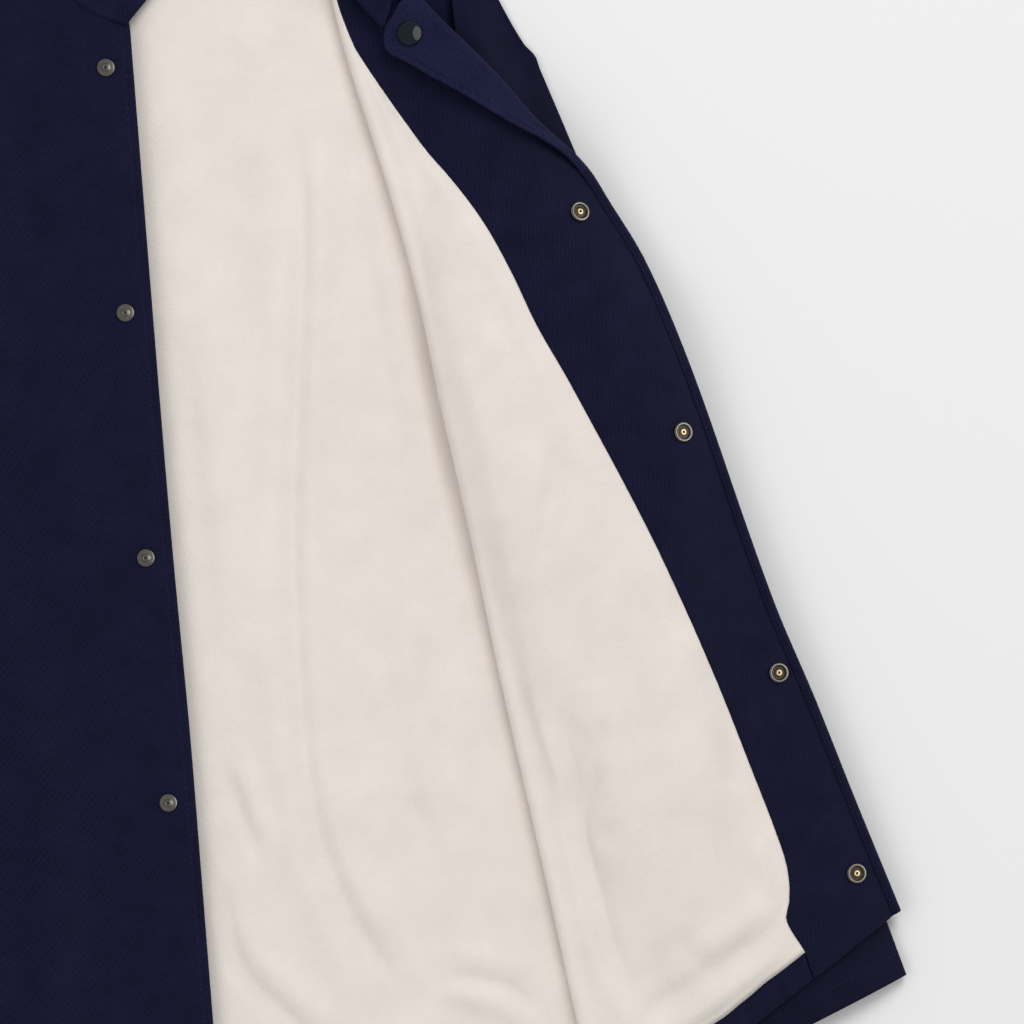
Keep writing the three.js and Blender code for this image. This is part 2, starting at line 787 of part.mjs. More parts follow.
// Back panel, cut from one flat piece
function backPanel() {
  const outline = new THREE.Shape();
  const neck = path(table("x y", [[-93, 758], [-60, 745], [0, 739], [60, 745], [93, 758]]));
  const edge = [];
  for (let k = 0; k <= 12; k += 1) edge.push(neck(k / 12));
  const armhole = path(ARMHOLE.slice().reverse());
  const side = path(SIDE_SEAM.slice().reverse());
  const left = [];
  for (let k = 0; k <= 16; k += 1) left.push(armhole(k / 16));
  for (let k = 1; k <= 4; k += 1) left.push(side(k / 4));
  const right = left.map((point) => new THREE.Vector2(-point.x, point.y)).reverse();
  edge.push(...left, ...right);
  outline.setFromPoints(edge);
  return new THREE.ExtrudeGeometry(outline, { depth: SHELL, bevelEnabled: false });
}
piece("back_panel", backPanel(), navy);

// Back lining: a patch inside the back panel's seams
function backLining() {
  const shoulderTop = path(table("x y", [
    [-179, 703],
    [-140, 728],
    [-98, 745],
    [-60, 736],
    [0, 731],
    [60, 736],
    [98, 745],
    [140, 728],
    [179, 703],
  ]));
  const inset = (rows) => rows.map((row) => ({ x: row.x - LINING_INSET, y: row.y }));
  const sideRows = [
    { x: 191, y: 703 },
    ...ARMHOLE.slice(1, -1).reverse(),
    { x: 282, y: 470 },
    ...SIDE_SEAM.slice(1, -1).reverse(),
    { x: 280, y: HEM_TURN_UP + GAP },
  ];
  const leftLine = path(inset(sideRows));
  const rightLine = path(mirrored(inset(sideRows)));
  const hemLine = (u) => rightLine(1).lerp(leftLine(1), u);
  const plan = patch(shoulderTop, hemLine, rightLine, leftLine);
  const sheet = (lift) => (down, across) => {
    const spot = plan(across, down);
    return raised(spot, LINING_BOTTOM + lift + liningFold(spot.x, spot.y) * openLining(spot.x, spot.y));
  };
  return wall(20, 31, sheet(0), sheet(LINING));
}
piece("back_lining", backLining(), cream);

function backHem() {
  const half = 280 - LINING_INSET;
  const point = (z) => (down, across) => new THREE.Vector3(
    THREE.MathUtils.lerp(-half, half, across),
    THREE.MathUtils.lerp(HEM_TURN_UP, GAP, down),
    z,
  );
  return wall(2, 12, point(LINING_BOTTOM), point(LINING_BOTTOM + FACING));
}
piece("back_hem", backHem(), navy);

// Left front with its lining, facing and hem turn-up
const layerNear = SHELL / 2 + LAYER_GAP;
const lastFrontRow = FRONT_ROWS - 1;
piece("left_front", frontLayer([0, lastFrontRow], [0, FRONT_COLUMNS - 1], -SHELL / 2, SHELL / 2), navy);
piece("left_front_lining", frontLayer(
  [1, lastFrontRow - 1],
  [TAIL_COLUMN, SEAM_COLUMN],
  layerNear,
  layerNear + LINING,
), cream);
piece("left_facing", frontLayer(
  [1, lastFrontRow],
  [SEAM_COLUMN, EDGE_COLUMN],
  layerNear,
  layerNear + FACING,
), navy);
piece("left_front_hem", frontLayer(
  [lastFrontRow - 1, lastFrontRow],
  [TAIL_COLUMN, SEAM_COLUMN],
  layerNear,
  layerNear + FACING,
), navy);

const RIGHT_PLACES = [0, 0.04, 0.1, 0.18, 0.28, 0.4, 0.52, 0.64, 0.76, 0.86, 0.92, 0.95, 0.975, 1];
function rightFront() {
  const last = RIGHT_PLACES.length - 1;
  const sheet = (lift) => (down, across) => {
    const spot = rightPlan(RIGHT_PLACES[Math.round(across * last)], down);
    return raised(spot, rightFrontBottom(spot) + lift);
  };
  return wall(18, last + 1, sheet(0), sheet(SHELL));
}
piece("right_front", rightFront(), navy);

const leftCrown = (plan) => columnAt(LEFT_SLEEVE, "y", "crown", plan.y);
piece("left_sleeve", sleeve(
  22,
  22,
  path(LEFT_SLEEVE_INNER),
  path(LEFT_SLEEVE_OUTER),
  leftArmhole,
  leftSleeveBottom,
  leftCrown,
), navy);
piece("right_sleeve", sleeve(
  20,
  22,
  path(RIGHT_SLEEVE_INNER),
  path(RIGHT_SLEEVE_OUTER),
  rightArmhole,
  () => 0,
  (plan, down) => columnAt(RIGHT_CROWN, "t", "crown", down),
), navy);

const collarPlace = (j) => COLLAR_PLACES[Math.round(j * (COLLAR_PLACES.length - 1))] / 5;
const collarWall = (distance) => (i, j) => collarSheet(distance)(i, collarPlace(j));
piece("collar", wall(4, COLLAR_PLACES.length, collarWall(-COLLAR / 2), collarWall(COLLAR / 2)), navy);

// Sockets on the facing, each pressed flat on the draped cloth
const facingTop = SHELL + GAP + FACING;
for (const place of SOCKETS) {
  const normal = drapeNormal(place.x, place.y);
  const point = new THREE.Vector3(place.x, place.y, drape(place.x, place.y));
  snap(place.name, SOCKET_PROFILE, metal, point.addScaledVector(normal, facingTop), normal);
}

// Cap and socket on the two sides of the corner that is folded back
const capSide = besideFront(CAP_PLACE.row, CAP_PLACE.across, -SHELL / 2);
const capNormal = capSide.clone().sub(leftFront(CAP_PLACE.row, CAP_PLACE.across)).normalize();
snap("snap_cap_1", CAP_PROFILE, enamel, capSide, capNormal);
const socketSide = besideFront(CAP_PLACE.row, CAP_PLACE.across, SHELL / 2);
snap("snap_socket_1", SOCKET_PROFILE, metal, socketSide, capNormal.clone().negate(), CORNER_SEAT);

// Studs on the outside of the right front
for (let k = 0; k < 5; k += 1) {
  const y = LOWEST_STUD_Y + (4 - k) * STUD_PITCH;
  const x = columnAt(RIGHT_EDGE.slice().reverse(), "y", "x", y) - SNAP_INSET;
  const height = (at) => rightFrontBottom(new THREE.Vector2(at, y)) + SHELL;
  const slope = (height(x + 2) - height(x - 2)) / 4;
  const normal = new THREE.Vector3(-slope, 0, 1).normalize();
  snap(`snap_stud_${k + 1}`, STUD_PROFILE, metal, new THREE.Vector3(x, y, height(x)), normal);
}

export default jacket;
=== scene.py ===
import math

import bmesh
import bpy
import numpy as np
from mathutils import Matrix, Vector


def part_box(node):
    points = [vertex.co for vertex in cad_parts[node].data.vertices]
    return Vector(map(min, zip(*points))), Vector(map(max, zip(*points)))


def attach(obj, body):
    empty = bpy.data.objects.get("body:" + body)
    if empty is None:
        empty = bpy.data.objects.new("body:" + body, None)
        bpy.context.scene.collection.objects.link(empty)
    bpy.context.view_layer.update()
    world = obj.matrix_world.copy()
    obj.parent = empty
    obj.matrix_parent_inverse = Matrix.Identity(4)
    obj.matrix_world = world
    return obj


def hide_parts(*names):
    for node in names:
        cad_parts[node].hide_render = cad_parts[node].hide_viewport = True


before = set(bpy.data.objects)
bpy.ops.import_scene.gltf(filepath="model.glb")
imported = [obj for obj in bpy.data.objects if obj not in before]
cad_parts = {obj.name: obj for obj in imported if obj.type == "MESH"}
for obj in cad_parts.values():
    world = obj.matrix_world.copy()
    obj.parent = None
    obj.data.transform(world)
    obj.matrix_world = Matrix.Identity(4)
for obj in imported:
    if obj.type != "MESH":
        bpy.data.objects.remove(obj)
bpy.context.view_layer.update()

# Camera, light and surface
# The camera looks straight down on the jacket from 4 m, rolled with the way the jacket lies. Soft lights
# stand beyond the shoulder and on the other side, and a card on the right shows in enamel and metal only.
MM = 0.001
HEM_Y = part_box("back_panel")[0][1]
CAMERA_HEIGHT = 4.0
SENSOR = 36.0
PIXEL = 0.0006
VIEW_WIDTH = 1024 * PIXEL
VIEW_MIDDLE = (0.1878, 0.3715)
JACKET_TILT = math.radians(3.92)
CLOTH_HEIGHT = 0.024
FLOOR_REACH = 6.0
FLOOR_DROP = 0.0003


def add_object(name, data):
    made = bpy.data.objects.new(name, data)
    bpy.context.collection.objects.link(made)
    return made


def look_down_camera():
    data = bpy.data.cameras.new("camera")
    data.sensor_width = SENSOR
    data.lens = SENSOR * CAMERA_HEIGHT / VIEW_WIDTH
    camera = add_object("camera", data)
    camera.location = (VIEW_MIDDLE[0], VIEW_MIDDLE[1] + HEM_Y, CAMERA_HEIGHT + CLOTH_HEIGHT)
    camera.rotation_euler = (0.0, 0.0, -JACKET_TILT)
    bpy.context.scene.camera = camera


def soft_light(name, place, aim, size, power):
    data = bpy.data.lights.new(name, "AREA")
    data.shape = "DISK"
    data.size = size
    data.energy = power
    light = add_object(name, data)
    light.location = place
    direction = np.array(aim) - np.array(place)
    flat = math.hypot(direction[0], direction[1])
    tilt = math.atan2(flat, -direction[2])
    turn = math.atan2(-direction[0], direction[1])
    light.rotation_euler = (tilt, 0.0, turn)
    return light


def pale_world(strength):
    world = bpy.data.worlds.new("studio")
    world.use_nodes = True
    world.node_tree.nodes["Background"].inputs["Color"].default_value = (1.0, 1.0, 1.0, 1.0)
    world.node_tree.nodes["Background"].inputs["Strength"].default_value = strength
    bpy.context.scene.world = world


def plain_material(name, values):
    """Material whose shader has the given inputs set."""
    material = bpy.data.materials.new(name)
    material.use_nodes = True
    shader = material.node_tree.nodes["Principled BSDF"]
    for key, value in values.items():
        shader.inputs[key].default_value = value
    return material


def pale_floor():
    bm = bmesh.new()
    bmesh.ops.create_grid(bm, x_segments=2, y_segments=2, size=FLOOR_REACH)
    mesh = bpy.data.meshes.new("floor")
    bm.to_mesh(mesh)
    bm.free()
    mesh.transform(Matrix.Translation((0.0, 0.0, -FLOOR_DROP)))
    mesh.materials.append(plain_material("pale_paper", {
        "Base Color": (0.86, 0.86, 0.86, 1.0), "Roughness": 0.9, "Specular IOR Level": 0.1,
    }))
    floor = add_object("floor", mesh)


look_down_camera()
key = soft_light("key", place=(1.45, 2.95, 3.6), aim=(0.15, 0.0, 0.0), size=2.6, power=101.0)
key.visible_glossy = False
fill = soft_light("fill", place=(-2.4, -0.8, 2.8), aim=(0.15, 0.0, 0.0), size=2.4, power=22.0)
fill.visible_glossy = False
card = soft_light("card", place=(4.6, 0.5, 2.7), aim=(0.15, 0.2, 0.0), size=6.6, power=330.0)
card.visible_diffuse = False
pale_world(0.58)
pale_floor()
bpy.context.scene.view_settings.view_transform = "Standard"
bpy.context.scene.view_settings.look = "None"


# Back panel
# One piece of navy brushed twill, cut with a low back neck, and the piece that the rest is sewn to.
# It lies flat on the surface, so only its edges show.
SHELL = 1.6
HALF_HEM = 280
NECK_POINT = np.array([93.0, 758.0])
SHOULDER_POINT = np.array([191.0, 716.0])
TO_THE_RIGHT = np.array([-1.0, 1.0])
RIB_PITCH = 0.0022
CUT_EDGE_ROUND = 0.28


def table(names, rows):
    """Rows of numbers as named columns."""
    return dict(zip(names.split(), np.array(rows, dtype=float).T))


ARMHOLE = table("y x", [
    (478, 273), (505, 249), (550, 222), (600, 200), (647, 187), (675, 178), (690, 179), (716, 191),
])
SIDE_SEAM = table("y x", [(0, 280), (150, 278), (300, 276), (430, 277), (478, 273)])


def column_at(rows, key, name, at):
    """Smooth value of one column at a place along the key column."""
    keys = rows[key]
    values = rows[name]
    last = len(keys) - 1
    place = np.clip(at, keys[0], keys[-1])
    i = np.minimum(np.searchsorted(keys[1:], place, side="left"), last - 1)
    before = np.maximum(i - 1, 0)
    after = np.minimum(i + 2, last)
    span = keys[i + 1] - keys[i]
    start_slope = (values[i + 1] - values[before]) / (keys[i + 1] - keys[before])
    end_slope = (values[after] - values[i]) / (keys[after] - keys[i])
    u = (place - keys[i]) / span
    u2 = u * u
    u3 = u2 * u
    return (
        (2 * u3 - 3 * u2 + 1) * values[i]
        + (u3 - 2 * u2 + u) * span * start_slope
        + (3 * u2 - 2 * u3) * values[i + 1]
        + (u3 - u2) * span * end_slope
    )


def path(rows):
    """Line in plan through points, as a function of the share of its length."""
    steps = np.hypot(np.diff(rows["x"]), np.diff(rows["y"]))
    along = {"s": np.concatenate([[0.0], np.cumsum(steps)]), "x": rows["x"], "y": rows["y"]}
    length = along["s"][-1]

    def point(t):
        t = np.asarray(t, dtype=float)
        return np.stack(
            [column_at(along, "s", "x", t * length), column_at(along, "s", "y", t * length)], axis=-1
        )

    return point


def reverse(rows):
    return {name: column[::-1] for name, column in rows.items()}


def chain(*tables):
    return {name: np.concatenate([rows[name] for rows in tables]) for name in tables[0]}


def raised(plan, z):
    return np.concatenate([plan, np.broadcast_to(z, plan.shape[:-1])[..., None]], axis=-1)


def finished_mesh(name, vertices, faces, cloth_uv, material):
    """Mesh object in metres with outward faces, smooth shading and a cloth map in metres."""
    vertices = np.asarray(vertices, dtype=float) * MM
    vertices[:, 1] += HEM_Y
    faces = np.asarray(faces)
    corners = vertices[faces[:, :3]]
    other = vertices[faces[:, [0, 2, 3]]]
    volume = np.einsum("ij,ij->", corners[:, 0], np.cross(corners[:, 1], corners[:, 2]))
    volume += np.einsum("ij,ij->", other[:, 0], np.cross(other[:, 1], other[:, 2]))
    if volume < 0:
        faces = faces[:, ::-1]
    mesh = bpy.data.meshes.new(name)
    mesh.from_pydata(vertices.tolist(), [], faces.tolist())
    mesh.polygons.foreach_set("use_smooth", np.ones(len(faces), dtype=bool))
    layer = mesh.uv_layers.new(name="cloth")
    layer.data.foreach_set("uv", (np.asarray(cloth_uv)[faces.ravel()] * MM).ravel())
    mesh.materials.append(material)
    mesh.update()
    return add_object(name, mesh)


def cloth_distances(points):
    """Distances along the columns and rows of a grid, which lay the weave on it."""
    across = np.linalg.norm(np.diff(points, axis=1), axis=-1)
    down = np.linalg.norm(np.diff(points, axis=0), axis=-1)
    u = np.concatenate([np.zeros((points.shape[0], 1)), np.cumsum(across, axis=1)], axis=1)
    v = np.concatenate([np.zeros((1, points.shape[1])), np.cumsum(down, axis=0)], axis=0)
    return np.stack([u, v], axis=-1)


def cloth_wall(name, lower, upper, material):
    """Closed cloth between two grids of points, with its cut edges rounded."""
    rows, columns = lower.shape[:2]
    size = rows * columns
    number = np.arange(size).reshape(rows, columns)
    quads = np.stack(
        [number[:-1, :-1], number[:-1, 1:], number[1:, 1:], number[1:, :-1]], axis=-1
    ).reshape(-1, 4)
    rim = np.concatenate([
        number[0, :-1], number[:-1, -1], number[-1, :0:-1], number[:0:-1, 0],
    ])
    flat_lower = lower.reshape(-1, 3)
    flat_upper = upper.reshape(-1, 3)
    middle = (flat_lower + flat_upper) / 2
    inward = np.concatenate([
        number[1, :-1], number[:-1, -2], number[-2, :0:-1], number[:0:-1, 1],
    ])
    outward = middle[rim] - middle[inward]
    outward /= np.maximum(np.linalg.norm(outward, axis=-1, keepdims=True), 1e-9)
    thickness = np.linalg.norm(flat_upper[rim] - flat_lower[rim], axis=-1, keepdims=True)
    edge = middle[rim] + outward * thickness * CUT_EDGE_ROUND
    uv = cloth_distances((lower + upper) / 2).reshape(-1, 2)
    nxt = np.roll(np.arange(len(rim)), -1)
    mid_number = 2 * size + np.arange(len(rim))
    faces = np.concatenate([
        quads,
        quads[:, ::-1] + size,
        np.stack([rim, mid_number, mid_number[nxt], rim[nxt]], axis=-1),
        np.stack([mid_number, rim + size, rim[nxt] + size, mid_number[nxt]], axis=-1),
    ])
    vertices = np.concatenate([flat_lower, flat_upper, edge])
    return finished_mesh(name, vertices, faces, np.concatenate([uv, uv, uv[rim]]), material)


def lying_cloth(name, plan, low, thickness, material):
    """Closed cloth that lies at a height over a grid in plan."""
    return cloth_wall(name, raised(plan, low), raised(plan, low + thickness), material)


def add_node(tree, kind, inputs, **settings):
    """New node in a tree. Each input is given as a value, or as the output that feeds it."""
    node = tree.nodes.new(kind)
    for name, value in settings.items():
        setattr(node, name, value)
    for key, value in inputs.items():
        if isinstance(value, bpy.types.NodeSocket):
            tree.links.new(value, node.inputs[key])
        else:
            node.inputs[key].default_value = value
    return node


def calculated(tree, operation, *values):
    """Result of a calculation on outputs and numbers."""
    return add_node(tree, "ShaderNodeMath", dict(enumerate(values)), operation=operation).outputs["Value"]


def noise(tree, kind, output, **inputs):
    """One output of a texture laid through the piece in its own metres."""
    where = add_node(tree, "ShaderNodeTexCoord", {}).outputs["Object"]
    return add_node(tree, kind, {"Vector": where, **inputs}).outputs[output]


def two_tones(tree, value, colour, dark, light):
    """One colour from dark to light, with the value and the brightness of each end."""
    ramp = add_node(tree, "ShaderNodeValToRGB", {"Fac": value})
    for element, (position, brightness) in zip(ramp.color_ramp.elements, (dark, light)):
        element.position = position
        element.color = (*[brightness * c for c in colour], 1.0)
    return ramp.outputs["Color"]


def feed_shader(tree, outputs):
    shader = tree.nodes["Principled BSDF"]
    for name, output in outputs.items():
        tree.links.new(output, shader.inputs[name])


def navy_twill(name, colour, angle, fuzz=1.0):
    """Brushed twill: fine ribs under a short nap, a little lighter on the ribs."""
    material = plain_material(name, {
        "Roughness": 0.88, "Specular IOR Level": 0.08, "Sheen Weight": 0.07, "Sheen Roughness": 0.5,
        "Sheen Tint": (0.25, 0.28, 0.8, 1.0),
    })
    tree = material.node_tree
    cloth = add_node(tree, "ShaderNodeUVMap", {}, uv_map="cloth").outputs["UV"]
    turn = add_node(tree, "ShaderNodeMapping", {"Vector": cloth, "Rotation": (0.0, 0.0, angle)})
    ribs = add_node(tree, "ShaderNodeTexWave", {
        "Vector": turn.outputs["Vector"], "Scale": 2 * math.pi / (20 * RIB_PITCH), "Distortion": 2.2,
        "Detail": 2.0, "Detail Scale": 1.2,
    })
    nap = noise(tree, "ShaderNodeTexNoise", "Fac", Scale=900.0, Detail=3.0)
    patches = noise(tree, "ShaderNodeTexNoise", "Fac", Scale=55.0, Detail=4.0)
    low_ribs = calculated(tree, "MULTIPLY", ribs.outputs["Fac"], 0.27)
    height = calculated(tree, "MULTIPLY_ADD", nap, 1.1 * fuzz, low_ribs)
    tone = calculated(tree, "MULTIPLY_ADD", patches, 0.8, height)
    shades = two_tones(tree, calculated(tree, "MULTIPLY", tone, 0.5), colour, (0.38, 0.62), (0.8, 1.42))
    bump = add_node(tree, "ShaderNodeBump", {"Strength": 0.55, "Distance": 0.00035, "Height": height})
    feed_shader(tree, {"Base Color": shades, "Normal": bump.outputs["Normal"]})
    return material


twill_outside = navy_twill("twill_outside", (0.0064, 0.0068, 0.0250), math.radians(28), 1.2)


def back_panel():
    neck = path(table("x y", [(-93, 758), (-60, 745), (0, 739), (60, 745), (93, 758)]))
    share = np.linspace(0, 1, 60)
    shoulder_right = np.linspace(SHOULDER_POINT * TO_THE_RIGHT, NECK_POINT * TO_THE_RIGHT, 14)[:-1]
    shoulder_left = np.linspace(NECK_POINT, SHOULDER_POINT, 14)[1:]
    top = np.concatenate([shoulder_right, neck(share), shoulder_left])
    side = path(chain(reverse(ARMHOLE), reverse(SIDE_SEAM)))
    down = np.linspace(0, 1, 90)[:, None]
    across = np.linspace(0, 1, len(top))[None, :]
    left = side(down[:, 0])[:, None, :]
    right = left * TO_THE_RIGHT
    hem = np.stack([(across[0] * 2 - 1) * HALF_HEM, across[0] * 0], axis=-1)[None]
    d = down[..., None]
    a = across[..., None]
    plan = top[None] * (1 - d) + hem * d + right * (1 - a) + left * a
    plan -= top[0] * (1 - a) * (1 - d) + top[-1] * a * (1 - d)
    plan -= hem[0, 0] * (1 - a) * d + hem[0, -1] * a * d
    return lying_cloth("back", plan, 0.0, SHELL, twill_outside)


back = back_panel()
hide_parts("back_panel")
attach(back, "root")


# Back lining and back hem
# Cream brushed fleece, cut like the back and sewn in at the seams, with the panel's hem turned up over it.
# It lies loose, so long soft folds run down it from the neck and bend towards the left at the hem.
LINING = 2.2
FACING = 1.4
GAP = 0.3
LINING_BOTTOM = SHELL + GAP
LINING_INSET = 23
LINING_SLACK = 1.3
BACK_CREASE_DEPTH = 1.55
HEM_TURN_UP = 20
HEM_REACH = HALF_HEM - LINING_INSET
FOLD_LINE = table("x y", [
    (90, 760), (105, 662), (125, 578), (140, 505), (149, 441), (160, 371), (174, 271), (192, 156),
    (206, 62), (217, -8),
])


def mirror(rows):
    return {**rows, "x": -rows["x"]}


def smooth(value, start, end):
    u = np.clip((value - start) / (end - start), 0.0, 1.0)
    return u * u * (3 - 2 * u)


def crease(points, height, width, taper=45.0):
    return {"points": np.array(points, dtype=float), "height": height, "width": width, "taper": taper}


def crease_height(plan, creases):
    """Sum of soft ridges and troughs along lines, each fading out at its two ends."""
    total = np.zeros(plan.shape[:-1])
    for fold in creases:
        line = path({"x": fold["points"][:, 0], "y": fold["points"][:, 1]})
        spots = line(np.linspace(0, 1, 50))
        pieces = np.linalg.norm(np.diff(spots, axis=0), axis=-1)
        starts = np.concatenate([[0.0], np.cumsum(pieces)])
        length = starts[-1]
        nearest = np.full(plan.shape[:-1], np.inf)
        at = np.zeros(plan.shape[:-1])
        for start, step, size, passed in zip(spots, np.diff(spots, axis=0), pieces, starts):
            u = ((plan[..., 0] - start[0]) * step[0] + (plan[..., 1] - start[1]) * step[1]) / size**2
            u = np.clip(u, 0, 1)
            away = np.hypot(plan[..., 0] - start[0] - u * step[0], plan[..., 1] - start[1] - u * step[1])
            closer = away < nearest
            nearest = np.where(closer, away, nearest)
            at = np.where(closer, passed + u * size, at)
        ends = smooth(at, 0, fold["taper"]) * smooth(length - at, 0, fold["taper"])
        total += fold["height"] * ends * np.exp(-((nearest / fold["width"]) ** 2))
    return total


BACK_CREASES = [
    crease(
        [(88, 640), (80, 507), (68, 388), (64, 298), (67, 207), (78, 160), (98, 118), (124, 84)],
        3.2, 13, 70,
    ),
    crease(
        [(77, 615), (70, 507), (57, 388), (53, 298), (55, 207), (65, 162), (85, 115), (110, 80)],
        -2.0, 5.5, 60,
    ),
    crease(
        [(62, 600), (52, 480), (40, 380), (38, 290), (41, 205), (50, 155), (68, 108), (90, 66)],
        2.6, 13, 70,
    ),
    crease([(4, 235), (10, 210), (23, 166)], -1.5, 4.5, 25),
    crease([(14, 250), (20, 210), (34, 165)], 1.7, 8, 35),
    crease([(-3, 169), (2, 115), (18, 90), (34, 74), (60, 40)], -1.8, 5, 35),
    crease([(12, 150), (16, 120), (30, 98), (50, 78), (76, 52)], 2.2, 9, 35),
    crease([(130, 320), (136, 244), (149, 194)], -1.5, 7, 40),
    crease([(118, 340), (122, 260), (134, 190), (150, 130)], 2.0, 12, 50),
    crease([(114, 209), (121, 182)], -0.9, 5, 14),
    crease([(124, 97), (149, 91), (167, 84), (186, 67)], -1.9, 3.0, 22),
    crease([(118, 88), (148, 80), (166, 72), (182, 52)], 2.0, 7, 25),
    crease([(128, 112), (152, 104), (172, 96), (190, 84)], 1.2, 7, 25),
    crease([(116, 610), (126, 503), (136, 430), (142, 360)], 1.6, 12, 60),
    crease([(108, 560), (116, 470), (124, 400)], -1.1, 7, 50),
    crease([(10, 560), (14, 430), (18, 330), (14, 250)], 1.8, 15, 80),
    crease([(-2, 500), (0, 380), (2, 280)], -1.0, 8, 70),
    crease([(60, 700), (50, 640), (46, 570)], 1.2, 14, 40),
    crease([(70, 30), (100, 60), (140, 70)], 1.4, 10, 30),
    crease([(-70, 600), (-80, 420), (-74, 250), (-90, 90)], 1.0, 22, 90),
]


def open_lining(plan):
    """The folds lie only where the two fronts leave the lining free."""
    fold_x = column_at(reverse(FOLD_LINE), "y", "x", plan[..., 1])
    x = plan[..., 0]
    return smooth(x, -26, 0) * (1 - smooth(x, fold_x - 12, fold_x - 3)) * smooth(plan[..., 1], 21, 45)


def fleece(name, colour):
    """Brushed fleece: a dense short pile, faintly mottled, with a soft sheen at grazing angles."""
    material = plain_material(name, {
        "Roughness": 0.95, "Specular IOR Level": 0.12, "Sheen Weight": 0.25, "Sheen Roughness": 0.6,
    })
    tree = material.node_tree
    pile = noise(tree, "ShaderNodeTexNoise", "Fac", Scale=750.0, Detail=4.0, Roughness=0.65)
    tufts = noise(tree, "ShaderNodeTexVoronoi", "Distance", Scale=420.0)
    mottle = noise(tree, "ShaderNodeTexNoise", "Fac", Scale=38.0, Detail=5.0, Roughness=0.6)
    height = calculated(tree, "MULTIPLY_ADD", tufts, 0.35, pile)
    tone = calculated(tree, "MULTIPLY_ADD", pile, 0.5, mottle)
    shades = two_tones(tree, tone, colour, (0.48, 0.94), (0.98, 1.03))
    bump = add_node(tree, "ShaderNodeBump", {"Strength": 0.5, "Distance": 0.00045, "Height": height})
    feed_shader(tree, {"Base Color": shades, "Normal": bump.outputs["Normal"]})
    return material


CREAM = (0.800, 0.735, 0.682)
fleece_cream = fleece("fleece_cream", CREAM)


def coons(top, bottom, near, far, across, down):
    """Patch in plan between four boundary lines."""
    a = across[..., None]
    d = down[..., None]
    plan = top(across) * (1 - d) + bottom(across) * d + near(down) * (1 - a) + far(down) * a
    plan -= top(0.0) * (1 - a) * (1 - d) + top(1.0) * a * (1 - d)
    plan -= bottom(0.0) * (1 - a) * d + bottom(1.0) * a * d
    return plan


def back_lining():
    top = path(table("x y", [
        (-179, 703), (-140, 728), (-98, 745), (-60, 736), (0, 731), (60, 736), (98, 745), (140, 728),
        (179, 703),
    ]))
    side_rows = chain(
        {"y": np.array([703.0]), "x": np.array([191.0])},
        {key: column[1:-1] for key, column in reverse(ARMHOLE).items()},
        {"y": np.array([470.0]), "x": np.array([282.0])},
        {key: column[1:-1] for key, column in reverse(SIDE_SEAM).items()},
        {"y": np.array([HEM_TURN_UP + GAP]), "x": np.array([280.0])},
    )
    side_rows["x"] = side_rows["x"] - LINING_INSET
    left = path(side_rows)
    right = path(mirror(side_rows))

    def hem(share):
        share = np.asarray(share)[..., None]
        return right(1.0) * (1 - share) + left(1.0) * share

    across, down = np.meshgrid(np.linspace(0, 1, 230), np.linspace(0, 1, 215))
    plan = coons(top, hem, right, left, across, down)
    folds = np.maximum(0.0, LINING_SLACK + BACK_CREASE_DEPTH * crease_height(plan, BACK_CREASES))
    lift = LINING_BOTTOM + folds * open_lining(plan)
    return lying_cloth("back_fleece", plan, lift, LINING, fleece_cream)


back_fleece = back_lining()
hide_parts("back_lining")
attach(back_fleece, "root")


def hem_wave(x):
    return 0.25 * np.sin(x * 0.07 + 1.0) + 0.25


def back_hem():
    across, down = np.meshgrid(np.linspace(-HEM_REACH, HEM_REACH, 160), np.linspace(HEM_TURN_UP, GAP, 8))
    plan = np.stack([across, down], axis=-1)
    return lying_cloth("back_turn_up", plan, LINING_BOTTOM + hem_wave(across), FACING, twill_inside)


twill_inside = navy_twill("twill_facing", (0.0070, 0.0072, 0.0255), math.radians(-24))
back_turn_up = back_hem()
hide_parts("back_hem")
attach(back_turn_up, "root")


# Left sleeve
# A tube of navy twill, cut full at the top and narrow at the cuff, with the cuff's hem stitched inside.
# It lies along the body over the lower part of the front, and keeps some air, so the front rises over it.
ARMPIT_Y = 478
FRONT_BOTTOM = LINING_BOTTOM + LINING + GAP
LOWER_FRONT_MIDDLE = FRONT_BOTTOM + LINING + GAP + SHELL / 2
LOWER_FRONT_TOP = LOWER_FRONT_MIDDLE + SHELL / 2
SLEEVE_STEP_DOWN = 24
SIDE_SHARE = 0.34
SEAM_REACH = 0.14
LEFT_SLEEVE = table("y inner outer crown", [
    (20, 305, 424, 13), (77, 279, 404, 15), (195, 229, 371, 18), (318, 189, 333, 20), (410, 165, 304, 21),
    (489, 157, 277, 20), (549, 163, 250, 17), (608, 166, 233, 12), (647, 172, 217, 6.5), (680, 177, 204, 6),
    (716, 191, 193, 5),
])
LEFT_SLEEVE_INNER = table("x y", [
    (188, 646), (174, 608), (163, 549), (157, 489), (165, 410), (189, 318), (229, 195), (279, 77),
    (301, 32),
])
LEFT_SLEEVE_OUTER = table("x y", [
    (192, 716), (204, 680), (215, 653), (221, 645), (223, 637), (234, 605), (243, 579), (277, 489),
    (304, 410), (335, 310), (371, 195), (406, 77),
])


def side_at(y):
    y = np.asarray(y, dtype=float)
    return np.where(
        y > ARMPIT_Y, column_at(ARMHOLE, "y", "x", y), column_at(SIDE_SEAM, "y", "x", y)
    )


def crown_profile(u):
    return (1 - np.abs(2 * np.clip(u, 0, 1) - 1) ** 2.3) ** 0.7


def left_sleeve_bottom(x, y):
    side = side_at(y)
    return (LOWER_FRONT_TOP + GAP) * (1 - smooth(x, side, side + SLEEVE_STEP_DOWN))


